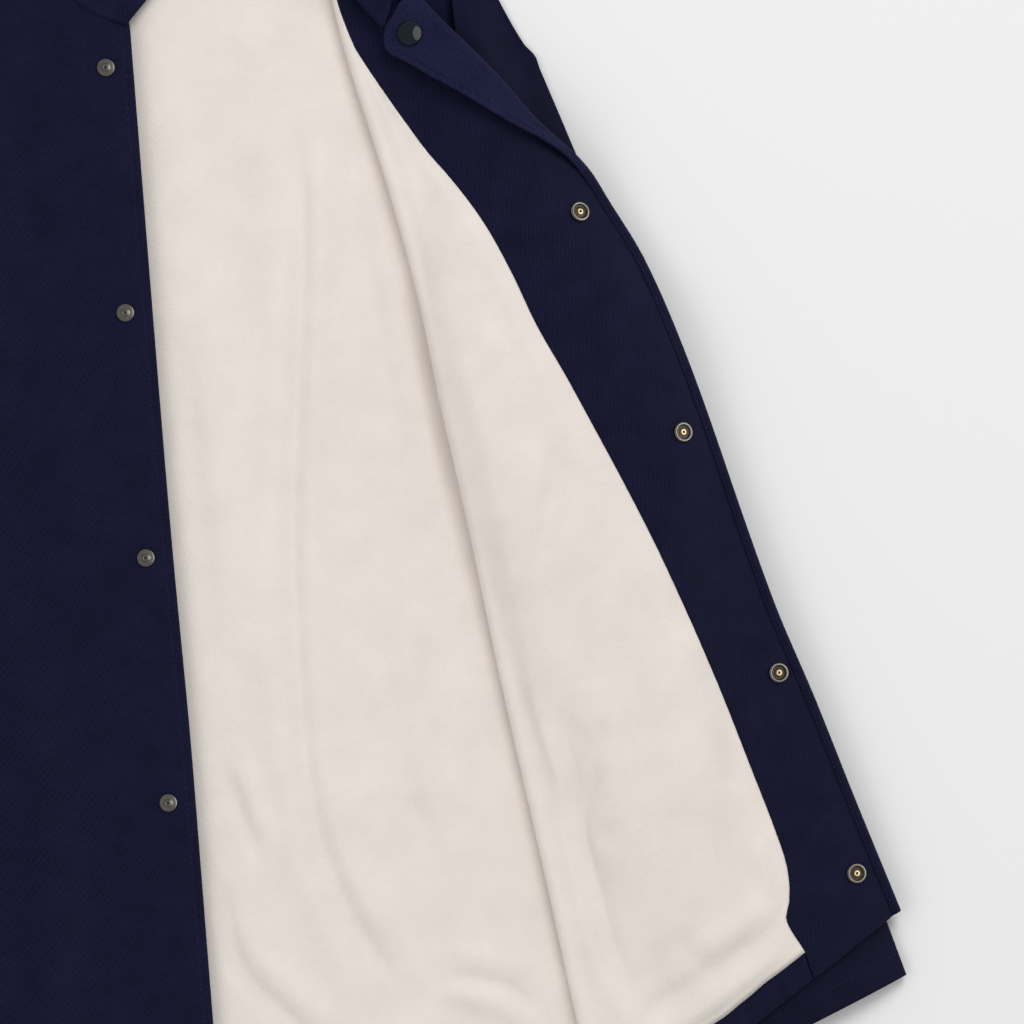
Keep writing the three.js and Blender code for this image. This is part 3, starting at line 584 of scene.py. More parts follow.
def left_sleeve_top(x, y):
    inner = column_at(LEFT_SLEEVE, "y", "inner", y)
    outer = column_at(LEFT_SLEEVE, "y", "outer", y)
    crown = column_at(LEFT_SLEEVE, "y", "crown", y)
    across = (x - inner) / (outer - inner)
    rise = SIDE_SHARE + (1 - SIDE_SHARE) * crown_profile(across)
    return left_sleeve_bottom(x, y) + crown * rise * ((across > 0) & (across < 1))


def tube_wall(name, outer, inner, material):
    """Closed cloth tube between an outer and an inner set of rings, open at its two ends."""
    rows, around = outer.shape[:2]
    size = rows * around
    number = np.arange(size).reshape(rows, around)
    nxt = np.roll(number, -1, axis=1)
    skin = np.stack([number[:-1], nxt[:-1], nxt[1:], number[1:]], axis=-1).reshape(-1, 4)
    start = np.stack([number[0], number[0] + size, nxt[0] + size, nxt[0]], axis=-1)
    end = np.stack([number[-1], nxt[-1], nxt[-1] + size, number[-1] + size], axis=-1)
    faces = np.concatenate([skin, skin[:, ::-1] + size, start, end])
    uv = cloth_distances(outer).reshape(-1, 2)
    vertices = np.concatenate([outer.reshape(-1, 3), inner.reshape(-1, 3)])
    return finished_mesh(name, vertices, faces, np.concatenate([uv, uv]), material)


def sleeve_rings(inner, outer, start, bottom, crown, creases, rows, around):
    """Outer and inner rings of a sleeve, from the armhole to the cuff."""
    down, turn = np.meshgrid(np.linspace(0, 1, rows), np.arange(around) / around, indexing="ij")
    angle = turn * 2 * np.pi
    half = 0.5 - 0.5 * np.cos(angle)
    rings = []
    for inset in (0.0, SHELL):
        inner_point = inner(down)
        outer_point = outer(down)
        width = np.linalg.norm(outer_point - inner_point, axis=-1)
        across = (inset / width) * (1 - half) + (1 - inset / width) * half
        plan = inner_point * (1 - across[..., None]) + outer_point * across[..., None]
        straight = inner(0.0) * (1 - across[..., None]) + outer(0.0) * across[..., None]
        plan = plan + (start(across) - straight) * (1 - smooth(down, 0, SEAM_REACH))[..., None]
        low = bottom(plan[..., 0], plan[..., 1]) + inset
        full = crown(plan, down) - 2 * inset
        side_round = (1 - np.abs(2 * half - 1) ** 4) ** 0.5
        upper = SIDE_SHARE + (1 - SIDE_SHARE) * crown_profile(half)
        rise = np.where(np.sin(angle) >= 0, upper, SIDE_SHARE * (1 - side_round))
        on_top = np.clip(np.sin(angle), 0, 1) ** 0.5
        z = low + full * rise + crease_height(plan, creases) * on_top
        rings.append(raised(plan, z))
    return rings


LEFT_SLEEVE_CREASES = [
    crease([(196, 700), (204, 672), (214, 640), (222, 612)], -1.1, 6, 18),
    crease([(186, 668), (198, 655), (212, 645)], -0.9, 4, 10),
    crease([(205, 690), (212, 668), (222, 646)], 0.8, 5, 14),
    crease([(195, 640), (214, 622), (230, 612)], 0.7, 6, 12),
    crease([(330, 55), (345, 62), (362, 75)], 0.9, 8, 12),
]
LEFT_ARMHOLE = path(table("x y", [(183, 644), (176, 667), (173, 682), (176, 700), (187, 717)]))
# A darker copy of the body's outer twill for both sleeves, which are the same cloth: painted shade.
twill_sleeve_painted_shade = navy_twill("twill_sleeve_painted_shade", (0.0058, 0.0060, 0.0215), math.radians(80), 1.1)


def left_crown(plan, down):
    return column_at(LEFT_SLEEVE, "y", "crown", plan[..., 1])


def left_sleeve():
    outer, inner = sleeve_rings(
        path(LEFT_SLEEVE_INNER), path(LEFT_SLEEVE_OUTER), LEFT_ARMHOLE, left_sleeve_bottom, left_crown,
        LEFT_SLEEVE_CREASES, 190, 96,
    )
    return tube_wall("left_arm", outer, inner, twill_sleeve_painted_shade)


left_arm = left_sleeve()
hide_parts("left_sleeve")
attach(left_arm, "root")


# Left front
# Navy twill, joined to the back at the shoulder and the side. Its lower part lies with the outside up,
# then it folds over and lies with the inside up, and its top corner folds back with the outside up again.
FOLD_ROOM = 1.8
FRONT_LENGTH = 770
SIDE_ROLL = 14
DRAPE_CLEARANCE = 1.5
DRAPE_REACH = 11
LIP_RADIUS = 2.3
LIP_WIDTH = 2.6
LIP_LEVEL = 3.1
STITCH_INSET = 5.0
FLAP_RADIUS = 3.4
FLAP_LIFT = 4.5
FRONT_EDGE = table("x y", [
    (104, 752), (124, 719), (157, 681), (197, 634), (218, 605), (245, 576), (258, 553), (277, 516),
    (300, 449), (340, 308), (361, 247), (381, 185), (404, 116),
])
FLAP_EDGE = table("t x y", [
    (0.053, 121, 718), (0.087, 137, 701), (0.11, 142, 685), (0.122, 139, 677), (0.145, 132, 666),
    (0.164, 132, 653), (0.184, 147, 643), (0.209, 164, 632), (0.233, 182, 618), (0.259, 200, 605),
    (0.282, 215, 594), (0.302, 228, 584), (0.32, 241, 573), (0.351, 255, 553),
])
fold_line = path(FOLD_LINE)
front_edge = path(FRONT_EDGE)
front_side = chain(reverse(ARMHOLE), {name: column[1:] for name, column in reverse(SIDE_SEAM).items()})
left_side = path(front_side)
FOLD_SETBACK = LINING + GAP + SHELL / 2


def left_of(line, t):
    """Unit vector in plan, square to a line and pointing to the wearer's left."""
    step = 0.01
    along = line(np.minimum(t + step, 1.0)) - line(np.maximum(t - step, 0.0))
    along /= np.linalg.norm(along, axis=-1, keepdims=True)
    return np.stack([-along[..., 1], along[..., 0]], axis=-1)


def grid_normals(points):
    """Unit normals of a grid of points, to the side that rows crossed with columns give."""
    down = np.gradient(points, axis=0)
    across = np.gradient(points, axis=1)
    normals = np.cross(down, across)
    return normals / np.maximum(np.linalg.norm(normals, axis=-1, keepdims=True), 1e-9)


def support(x, y):
    side = side_at(y)
    body = (LOWER_FRONT_TOP + FOLD_ROOM) * (1 - smooth(x, side, side + SLEEVE_STEP_DOWN))
    return np.maximum(body, left_sleeve_top(x, y))


DRAPE_X = np.arange(60.0, 461.0, 1.0)
DRAPE_Y = np.arange(-40.0, 801.0, 2.0)


def blurred(values, axis, reach):
    weights = np.exp(-((np.arange(-3 * reach, 3 * reach + 1) / reach) ** 2))
    weights /= weights.sum()
    padded = np.concatenate([
        np.repeat(np.take(values, [0], axis), 3 * reach, axis),
        values,
        np.repeat(np.take(values, [-1], axis), 3 * reach, axis),
    ], axis)
    return np.apply_along_axis(lambda line: np.convolve(line, weights, mode="valid"), axis, padded)


def drape_table():
    """Underside of the folded front: the highest support nearby, evened out both ways."""
    y, x = np.meshgrid(DRAPE_Y, DRAPE_X, indexing="ij")
    offsets = np.linspace(-1, 1, 15) * DRAPE_REACH
    highest = np.max([support(x + offset, y) for offset in offsets], axis=0)
    return blurred(blurred(highest, 1, 10), 0, 7) + DRAPE_CLEARANCE


DRAPE = drape_table()


def drape(x, y):
    column = np.clip((x - DRAPE_X[0]) / (DRAPE_X[1] - DRAPE_X[0]), 0, len(DRAPE_X) - 1.001)
    row = np.clip((y - DRAPE_Y[0]) / (DRAPE_Y[1] - DRAPE_Y[0]), 0, len(DRAPE_Y) - 1.001)
    i = row.astype(int)
    j = column.astype(int)
    v = row - i
    u = column - j
    near = DRAPE[i, j] * (1 - u) + DRAPE[i, j + 1] * u
    far = DRAPE[i + 1, j] * (1 - u) + DRAPE[i + 1, j + 1] * u
    return near * (1 - v) + far * v


def drape_normal(x, y):
    step = 2.0
    across = (drape(x + step, y) - drape(x - step, y)) / (2 * step)
    along = (drape(x, y + step) - drape(x, y - step)) / (2 * step)
    normal = np.stack([-across, -along, np.ones_like(across)], axis=-1)
    return normal / np.linalg.norm(normal, axis=-1, keepdims=True)


def flap_share(t):
    first = FLAP_EDGE["t"][0]
    last = FLAP_EDGE["t"][-1]
    return smooth(t, first, first + 0.05) * (1 - smooth(t, last - 0.09, last))


def blend(near, far, share):
    return near * (1 - share[..., None]) + far * share[..., None]


def fold_turn(start, outward):
    """Radius of the fold in each row, and how far short of level it meets the layer over it."""
    radius = np.full(len(start), 4.0)
    lean = np.zeros(len(start))
    for _ in range(12):
        end = start + outward * (FOLD_SETBACK + radius * (1 - np.sin(lean)))[:, None]
        height = drape(end[:, 0], end[:, 1]) + SHELL / 2 - LOWER_FRONT_MIDDLE
        ahead = end + outward
        behind = end - outward
        slope = (drape(ahead[:, 0], ahead[:, 1]) - drape(behind[:, 0], behind[:, 1])) / 2
        lean = (lean + np.arctan(np.clip(slope, -0.5, 1.2))) / 2
        radius = (radius + height / (1 + np.cos(lean))) / 2
    return radius, lean


def left_front_points(t, place):
    """Points of the left front: t runs from neck to hem and place across it.
    Place is 0 to 1 on the lower layer, 1 to 2 round the fold, 2 to 3 on the upper layer,
    3 to 4 round the front edge, and 4 to 5 on the lip or the corner that is folded back."""
    row = t[:, 0]
    outward = left_of(fold_line, row)
    start = fold_line(row)
    radius, lean = fold_turn(start, outward)
    centre = (start + outward * (FOLD_SETBACK + radius)[:, None])[:, None]
    turn_end = centre - outward[:, None] * (radius * np.sin(lean))[:, None, None]
    outward = outward[:, None]
    radius = radius[:, None]
    lower = blend(left_side(row)[:, None], centre, np.clip(place, 0, 1))
    roll = smooth(side_at(lower[..., 1]) - lower[..., 0], 0, SIDE_ROLL)
    lower_z = (LINING_BOTTOM + SHELL / 2) * (1 - roll) + LOWER_FRONT_MIDDLE * roll
    angle = np.clip(place - 1, 0, 1) * (np.pi - lean[:, None])
    turn = centre - outward * (radius * np.sin(angle))[..., None]
    turn_z = LOWER_FRONT_MIDDLE + radius * (1 - np.cos(angle))
    edge_radius = LIP_RADIUS + (FLAP_RADIUS - LIP_RADIUS) * flap_share(row)
    edge_out = left_of(front_edge, row)
    edge = front_edge(row) - edge_out * (SHELL / 2 + edge_radius)[:, None]
    edge_normal = drape_normal(edge[:, 0], edge[:, 1])[:, None]
    out = raised(edge_out, 0.0)[:, None]
    out = out - edge_normal * np.sum(out * edge_normal, axis=-1, keepdims=True)
    out = out / np.linalg.norm(out, axis=-1, keepdims=True)
    upper = blend(turn_end, edge[:, None], np.clip(place - 2, 0, 1))
    upper_z = drape(upper[..., 0], upper[..., 1]) + SHELL / 2
    base = raised(edge, drape(edge[:, 0], edge[:, 1]) + SHELL / 2)[:, None]
    rim_angle = (np.clip(place - 3, 0, 1) * np.pi)[..., None]
    rim_radius = edge_radius[:, None, None]
    rim = base + out * rim_radius * np.sin(rim_angle) + edge_normal * rim_radius * (1 - np.cos(rim_angle))
    inward = centre[:, 0] - edge
    inward = inward / np.linalg.norm(inward, axis=-1, keepdims=True)
    lip = edge + inward * LIP_WIDTH
    corner = np.stack([column_at(FLAP_EDGE, "t", "x", row), column_at(FLAP_EDGE, "t", "y", row)], axis=-1)
    width = np.linalg.norm(corner - edge, axis=-1)
    on_corner = (row > FLAP_EDGE["t"][0]) & (row < FLAP_EDGE["t"][-1])
    turned = smooth(width, LIP_WIDTH, 4 * LIP_WIDTH) * on_corner
    free = blend(lip, corner, turned)
    share = np.clip(place - 4, 0, 1)
    flap = blend(edge[:, None], free[:, None], share)
    edge_height = 2 * edge_radius[:, None]
    pressed = (1 - turned)[:, None] * smooth(share, 0.1, 1.0) * (edge_height - LIP_LEVEL)
    lift = edge_height - pressed + FLAP_LIFT * flap_share(row)[:, None] * share
    top = raised(flap, drape(flap[..., 0], flap[..., 1]) + SHELL / 2)
    top = top + drape_normal(flap[..., 0], flap[..., 1]) * lift[..., None]
    chosen = np.clip(np.ceil(place) - 1, 0, 4)[..., None]
    return np.select(
        [chosen == 0, chosen == 1, chosen == 2, chosen == 3],
        [raised(lower, lower_z), raised(turn, turn_z), raised(upper, upper_z), rim],
        top,
    )


def front_grid(rows, columns):
    """Points and normals of the left front, the normals on its lining side."""
    points = left_front_points(rows[:, None] * np.ones((1, columns.shape[-1])), columns)
    return points, grid_normals(points)


def steps(*spans):
    """Places across the front: each span is its start, its end and its number of steps."""
    parts = [np.linspace(start, end, count, endpoint=False) for start, end, count in spans]
    return np.concatenate([*parts, [spans[-1][1]]])


def stitch_groove(away, depth, width):
    """How deep a row of stitches presses the cloth, at a distance from the row."""
    return depth * np.exp(-((away / width) ** 2))


HEM_ROW = 1 - HEM_TURN_UP / FRONT_LENGTH
front_rows = np.linspace(0, 1, 230)


def left_front():
    places = steps(
        (0, 0.2, 10), (0.2, 1, 18), (1, 2, 14), (2, 3, 56), (3, 4, 10), (4, 4.8, 18), (4.8, 5, 16),
    )
    columns = np.broadcast_to(places, (len(front_rows), len(places)))
    points, normals = front_grid(front_rows, columns)
    lip = smooth(columns, 4.2, 5.0) * (1 - smooth(flap_share(front_rows), 0.0, 0.2))[:, None]
    half = (SHELL / 2 - 0.4 * lip)[..., None]
    edge_column = np.argmax(places == 4.0)
    width = np.linalg.norm(points[:, -1] - points[:, edge_column], axis=-1)[:, None]
    groove = stitch_groove((5 - columns) * width - STITCH_INSET, depth=0.5, width=1.3)
    groove = groove * smooth(columns, 4.0, 4.2) * (1 - lip)
    outside = points - normals * (half - groove[..., None])
    piece = cloth_wall("left_front_cloth", outside, points + normals * half, twill_corner_painted_light)
    # Slot 0 holds the lighter copy of the outer twill: painted light on the folded-back corner and on the
    # top of the fold.
    plain = (columns[:-1, :-1] > 2.0) & (flap_share(front_rows[:-1]) < 0.35)[:, None]
    shade = np.where(plain, 1, np.where(columns[:-1, :-1] < 1.5, 2, 0))
    kind = np.zeros(len(piece.data.polygons), dtype=np.int32)
    kind[:plain.size] = shade.ravel()
    kind[plain.size:2 * plain.size] = shade.ravel()
    piece.data.materials.append(twill_inside)
    piece.data.materials.append(twill_outside)
    piece.data.polygons.foreach_set("material_index", kind)
    return piece


# A lighter copy of the outer twill for the folded-back corner: painted light where the corner faces the
# lamps.
twill_corner_painted_light = navy_twill("twill_corner_painted_light", (0.0086, 0.0094, 0.0335), math.radians(28), 1.3)
left_front_cloth = left_front()
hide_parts("left_front")
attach(left_front_cloth, "root")


# Left front lining
# Cream fleece sewn to the facing and to the hem turn-up, and wrapped round the fold of the front.
# It hangs a little loose, with a long soft trough from the chest to the hem and a bag above the hem seam.
LAYER_GAP = 0.4
TURN_REACH = 9.0
TUCKED_PLACE = 0.75
FRONT_SLACK = 1.7
FRONT_CREASE_DEPTH = 1.45
FACING_SEAM = table("x y", [
    (94, 735), (101, 685), (110, 661), (126, 632), (146, 600), (165, 574), (183, 545), (197, 515),
    (210, 482), (228, 445), (272, 346), (302, 263), (322, 203), (336, 157), (338.5, 141), (338, 128),
    (335.5, 116), (342, 102), (352, 86),
])
facing_seam = path(FACING_SEAM)


def seam_place(rows):
    """Place across the upper layer where each row meets the facing seam."""
    start = left_front_points(rows[:, None], np.full((len(rows), 1), 2.0))[:, 0, :2]
    end = left_front_points(rows[:, None], np.full((len(rows), 1), 3.0))[:, 0, :2]
    seam = facing_seam(np.linspace(0, 1, 1200))
    span = end - start
    width = np.linalg.norm(span, axis=-1)
    along = np.einsum("rsk,rk->rs", seam[None] - start[:, None], span) / (width**2)[:, None]
    along = np.clip(along, -8 / width[:, None], 1)
    away = np.linalg.norm(start[:, None] + along[..., None] * span[:, None] - seam[None], axis=-1)
    best = along[np.arange(len(rows)), np.argmin(away, axis=1)]
    turned = np.arcsin(np.clip(-best * width / TURN_REACH, 0, 1)) / np.pi
    return np.where(best >= 0, 2 + best, 2 - turned)


FRONT_CREASES = [
    crease(
        [(206, 257), (210, 249), (222, 215), (215, 181), (218, 157), (224, 121), (231, 95), (242, 62)],
        -2.6, 7, 40,
    ),
    crease(
        [(192, 300), (196, 249), (204, 215), (200, 181), (205, 150), (211, 118), (219, 88), (228, 56)],
        2.4, 10, 50,
    ),
    crease([(232, 240), (240, 205), (233, 170), (238, 140), (246, 100), (256, 74)], 1.6, 11, 45),
    crease([(236, 247), (225, 214)], -1.2, 6, 16),
    crease([(237, 188), (229, 163)], -1.2, 6, 14),
    crease([(309, 219), (308, 191)], -0.9, 7, 16),
    crease([(220, 425), (217, 395), (208, 358), (196, 325)], -1.7, 7, 35),
    crease([(206, 430), (200, 395), (190, 350), (186, 310)], 1.5, 11, 45),
    crease([(236, 440), (232, 398), (226, 350), (214, 310)], 1.3, 11, 45),
    crease([(340, 132), (335, 116), (325, 108), (302, 96), (267, 76), (244, 62)], -2.2, 4.5, 14),
    crease([(333, 98), (322, 88), (300, 76), (270, 58), (240, 38)], 2.2, 7, 16),
    crease([(330, 140), (318, 122), (296, 110), (268, 92)], 1.6, 8, 26),
    crease([(328, 165), (333, 150), (335, 136)], -1.3, 3.5, 10),
    crease([(318, 168), (325, 148), (328, 130)], 1.2, 5, 14),
    crease([(160, 480), (172, 430), (184, 370), (186, 300)], 1.0, 16, 60),
    crease([(258, 330), (276, 280), (284, 210), (280, 150)], 1.4, 20, 70),
    crease([(250, 290), (262, 240), (262, 190)], -0.9, 12, 50),
    crease([(178, 520), (190, 480), (204, 440)], -0.8, 8, 30),
    crease([(270, 120), (276, 100), (290, 88)], -0.8, 6, 14),
]


def unit_down(points):
    down = np.gradient(points, axis=0)
    return down / np.maximum(np.linalg.norm(down, axis=-1, keepdims=True), 1e-9)


def hem_bow(points, columns):
    """How far the hem seam strays from straight: it bows down, and steps back up at the corner."""
    corner = facing_seam(np.array(1.0))
    away = np.hypot(points[..., 0] - corner[0], points[..., 1] - corner[1])
    wander = 0.3 * np.sin(away * 0.12 + 1.0) + 0.12 * np.sin(away * 0.33)
    bow = 2.6 * smooth(away, 3, 16) * (1 - smooth(away, 60, 130)) + wander * smooth(away, 2, 12)
    return bow * smooth(columns, 2.0, 2.1)


def loose_lining(points, seam):
    """How far the fleece stands off the front: nothing at its seams, more where it bags."""
    creases = FRONT_CREASE_DEPTH * crease_height(points[..., :2], FRONT_CREASES)
    return np.maximum(0.0, FRONT_SLACK + creases) * seam


def cloth_on_front(name, points, normals, near, thickness, material):
    """Closed cloth that lies a distance off the middle of the left front."""
    lower = points + normals * near[..., None]
    upper = points + normals * (near + thickness)[..., None]
    return cloth_wall(name, lower, upper, material)


def left_front_lining():
    rows = front_rows[(front_rows > 0.022) & (front_rows < HEM_ROW)]
    rows = np.concatenate([rows, [HEM_ROW - 0.0006]])
    seam = seam_place(rows)[:, None]
    share = np.linspace(0, 1, 92)[None]
    turn_end = np.minimum(2.0, seam - 0.2)
    tail = steps((0, 0.2, 6), (0.2, 1, 16))[None, :-1]
    on_turn = TUCKED_PLACE + (turn_end - TUCKED_PLACE) * tail
    on_top = turn_end + (seam - 0.003 - turn_end) * share
    columns = np.concatenate([on_turn, on_top], axis=1)
    points, normals = front_grid(rows, columns)
    near_hem = smooth(rows, HEM_ROW - 0.03, HEM_ROW)[:, None, None]
    points = points + hem_bow(points, columns)[..., None] * unit_down(points) * near_hem
    at_seam = smooth(seam - columns, 0, 0.09) * smooth(columns, 2.0, 2.12)
    at_hem = smooth(HEM_ROW - rows, 0, 0.016)[:, None] * smooth(rows, 0.03, 0.09)[:, None]
    near = SHELL / 2 + LAYER_GAP + loose_lining(points, at_seam * at_hem)
    return cloth_on_front("left_front_fleece", points, normals, near, LINING, fleece_cream)


left_front_fleece = left_front_lining()
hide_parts("left_front_lining")
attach(left_front_fleece, "root")


# Left facing and hem turn-up
# The facing is a curved strip of the same twill along the front edge, and holds the snap sockets.
# The turn-up is the front's own hem, folded in 20 mm and puckered a little where it is sewn.
def facing():
    rows = front_rows[front_rows > 0.02]
    seam = seam_place(np.minimum(rows, HEM_ROW - 0.0006))[:, None]
    share = np.linspace(0, 1, 46)[None]
    columns = seam + 0.002 + (2.999 - seam - 0.002) * share
    points, normals = front_grid(rows, columns)
    middle = np.sin(np.pi * share)
    long_wave = 0.35 * np.sin(rows * 47 + 0.8)[:, None]
    short_wave = 0.3 * np.sin(rows * 83 + 2.0)[:, None]
    wave = long_wave * middle**2 + short_wave * middle + 0.45 * middle
    from_edge = np.linalg.norm(points[:, -1] - points[:, 0], axis=-1)[:, None] * (1 - share)
    groove = stitch_groove(from_edge - 2.2, depth=0.28, width=1.0)
    near = SHELL / 2 + LAYER_GAP + np.maximum(wave, 0.0)
    return cloth_on_front("left_facing_cloth", points, normals, near, FACING - groove, twill_inside)


left_facing_cloth = facing()
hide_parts("left_facing")
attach(left_facing_cloth, "root")


def left_turn_up():
    rows = np.linspace(HEM_ROW + 0.0006, 0.999, 12)
    seam = seam_place(np.array([HEM_ROW - 0.0006]))[0]
    places = np.concatenate([
        steps((TUCKED_PLACE, 1, 6), (1, 2, 14))[:-1], np.linspace(2, seam - 0.004, 150),
    ])
    columns = np.broadcast_to(places, (len(rows), len(places)))
    points, normals = front_grid(rows, columns)
    across = places[None]
    pucker = 0.5 * np.sin(across * 95) * np.sin(across * 23 + 1.0) + 0.5
    share = np.linspace(0, 1, len(rows))[:, None]
    pucker = pucker * smooth(across, 2.03, 2.1) * np.sin(np.pi * share)
    points = points + (hem_bow(points, columns) * (1 - share))[..., None] * unit_down(points)
    near = SHELL / 2 + LAYER_GAP + pucker
    return cloth_on_front("left_turn_up", points, normals, near, FACING, twill_inside)


left_hem_cloth = left_turn_up()
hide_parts("left_front_hem")
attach(left_hem_cloth, "root")


# Right front
# Navy twill, sewn to the back at the shoulder and the side, and stitched along its edge. It lies over the
# lining with its outside up and its free edge lifted a little, with a few long soft creases.
RIGHT_EDGE_LIFT = 7
RIGHT_LIFT_REACH = 95
RIGHT_CREASE_DEPTH = 1.4
RIGHT_EDGE = table("x y", [
    (-22, 681), (-20, 500), (-18, 365), (-15, 250), (-14, 168), (-13, 77), (-12, -4),
])


def right_edge_at(y):
    return column_at(reverse(RIGHT_EDGE), "y", "x", y)


def right_front_bottom(plan):
    inside = right_edge_at(plan[..., 1]) - plan[..., 0]
    lift = RIGHT_EDGE_LIFT * (1 - smooth(inside, 0, RIGHT_LIFT_REACH))
    roll = smooth(plan[..., 0] + side_at(plan[..., 1]), 0, SIDE_ROLL)
    return LINING_BOTTOM * (1 - roll) + (FRONT_BOTTOM + lift) * roll


RIGHT_CREASES = [
    crease([(-110, 660), (-150, 590), (-215, 510)], 4.6, 17, 55),
    crease([(-95, 610), (-130, 540), (-190, 455)], 3.2, 13, 50),
    crease([(-66, 560), (-78, 440), (-72, 300)], 2.2, 18, 80),
    crease([(-245, 455), (-222, 360), (-236, 230)], 4.2, 18, 70),
    crease([(-186, 380), (-168, 240), (-188, 60)], 4.4, 20, 80),
    crease([(-118, 330), (-104, 180), (-120, 20)], 3.4, 17, 70),
    crease([(-238, 150), (-222, 90), (-240, 10)], 3.0, 14, 40),
]


def right_creases(plan):
    return RIGHT_CREASE_DEPTH * np.maximum(0, crease_height(plan, RIGHT_CREASES))


def right_front():
    side = path(mirror(front_side))
    top = path(table("x y", [
        (-22, 681), (-45, 691), (-70, 715), (-88, 745), (-93, 758), (-125, 745), (-160, 730), (-191, 716),
    ]))
    hem = path(table("x y", [(-12, -4), (-120, -5), (-210, -3), (-280, 0)]))
    across, down = np.meshgrid(np.linspace(0, 1, 120) ** 1.1, np.linspace(0, 1, 190))
    plan = coons(top, hem, path(RIGHT_EDGE), side, across, down)
    inset = smooth(across, 0, 0.06) * smooth(1 - across, 0, 0.08) * smooth(down, 0, 0.04)
    low = right_front_bottom(plan) + right_creases(plan) * inset
    inside = right_edge_at(plan[..., 1]) - plan[..., 0]
    groove = stitch_groove(inside - STITCH_INSET, depth=0.35, width=0.9)
    return lying_cloth("right_front_cloth", plan, low, SHELL - groove, twill_outside)


right_front_cloth = right_front()
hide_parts("right_front")
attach(right_front_cloth, "root")


# Right sleeve
# The same tube as the left one, lying beside the body on the surface, with soft folds at the elbow.
SLEEVE_SEAM = 0.4
RIGHT_SLEEVE_INNER = table("x y", [(-280, 475), (-330, 400), (-400, 300), (-450, 228), (-505, 147)])
RIGHT_SLEEVE_OUTER = table("x y", [(-191, 716), (-240, 668), (-330, 560), (-460, 395), (-594, 219)])
RIGHT_CROWN = table("t crown", [(0, 4.4), (0.1, 8), (0.28, 14.5), (0.6, 14), (1, 12)])
RIGHT_SLEEVE_CREASES = [
    crease([(-300, 480), (-290, 540), (-260, 600)], 1.8, 12, 40),
    crease([(-330, 430), (-340, 480), (-320, 540)], -1.5, 9, 40),
    crease([(-410, 330), (-390, 380), (-400, 440)], 1.8, 11, 35),
    crease([(-430, 300), (-440, 350), (-430, 400)], -1.4, 8, 35),
    crease([(-470, 250), (-480, 300), (-500, 330)], 1.4, 10, 30),
]
right_armhole_rows = mirror(ARMHOLE)
right_armhole_rows["x"] = right_armhole_rows["x"] - SLEEVE_SEAM


def on_the_surface(x, y):
    return x * 0


def right_crown(plan, down):
    return column_at(RIGHT_CROWN, "t", "crown", down)


def right_sleeve():
    outer, inner = sleeve_rings(
        path(RIGHT_SLEEVE_INNER), path(RIGHT_SLEEVE_OUTER), path(right_armhole_rows), on_the_surface,
        right_crown, RIGHT_SLEEVE_CREASES, 180, 96,
    )
    return tube_wall("right_arm", outer, inner, twill_sleeve_painted_shade)


right_arm = right_sleeve()
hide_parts("right_sleeve")
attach(right_arm, "root")


# Collar
# One doubled band of twill, 70 mm wide, sewn round the neckline and stitched along its edge.
# It lies flattened: over itself on the wearer's right, and folded back with the corner on the left.
COLLAR = 2.4
COLLAR_SEAM = {
    "right": path(table("x y", [(-24, 680), (-46, 690.5), (-70.5, 714), (-89, 744), (-95, 763)])),
    "back": path(table("x y", [(-95, 765), (-50, 748), (0, 742), (50, 748), (94, 767)])),
    "left": path(table("x y", [
        (94, 767), (105, 749), (117, 729), (130, 708), (136, 692), (135, 679), (130, 667),
    ])),
}
COLLAR_OUTER = {
    "right": path(table("x y", [(24, 733), (0, 762), (-46, 800), (-98, 829)])),
    "back": path(table("x y", [(-98, 829), (-50, 818), (0, 813), (50, 812)])),
    "left": path(table("x y", [(50, 812), (70, 790), (84, 762), (87, 722)])),
}
COLLAR_LEVEL = {
    "right": table("place seam outer", [(0, 14.2, 8), (0.5, 9, 6.4), (1, 8.2, 6.4)]),
    "back": table("place seam outer", [(2, 1.2, 1.2), (3, 1.2, 1.2)]),
    "left": table("place seam outer", [(4, 25, 8), (4.35, 26, 10), (4.6, 26, 13), (5, 26, 18)]),
}
COLLAR_START = {"right": 0, "back": 2, "left": 4}
COLLAR_WIDTH = 70


def collar_span(name, share, across):
    place = COLLAR_START[name] + share
    seam_z = column_at(COLLAR_LEVEL[name], "place", "seam", place)
    outer_z = column_at(COLLAR_LEVEL[name], "place", "outer", place)
    plan = blend(COLLAR_SEAM[name](share), COLLAR_OUTER[name](share), across)
    return raised(plan, seam_z * (1 - across) + outer_z * across)


def collar_turn(near, far, share, outward):
    angle = (share * np.pi)[..., None]
    radius = (far[..., 2:] - near[..., 2:]) / 2
    point = near.copy()
    point[..., 2:] = near[..., 2:] + radius * (1 - np.cos(angle))
    return point + np.array(outward) * np.abs(radius) * np.sin(angle)


def collar():
    across = np.linspace(0, 1, 40)
    parts = []
    for name in ("right", "turn_right", "back", "turn_left", "left"):
        count = 22 if name.startswith("turn") else 46
        share, a = np.meshgrid(np.linspace(0, 1, count)[:-1], across)
        if name == "turn_right":
            near = collar_span("right", np.ones_like(share), a)
            far = collar_span("back", np.zeros_like(share), a)
            parts.append(collar_turn(near, far, share, (-0.995, 0.0995, 0.0)))
        elif name == "turn_left":
            near = collar_span("back", np.ones_like(share), a)
            far = collar_span("left", np.zeros_like(share), a)
            parts.append(collar_turn(near, far, share, (0.76, 0.65, 0.0)))
        else:
            parts.append(collar_span(name, share, a))
    end_share, end_across = np.meshgrid(np.array([1.0]), across)
    parts.append(collar_span("left", end_share, end_across))
    points = np.concatenate(parts, axis=1)
    normals = grid_normals(points)
    from_rim = np.minimum(across, 1 - across)[:, None] * COLLAR_WIDTH
    groove = stitch_groove(from_rim - STITCH_INSET, depth=0.3, width=1.0)
    half = (COLLAR / 2 - groove)[..., None]
    return cloth_wall("collar_cloth", points - normals * half, points + normals * half, twill_outside)


collar_cloth = collar()
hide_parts("collar")
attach(collar_cloth, "root")


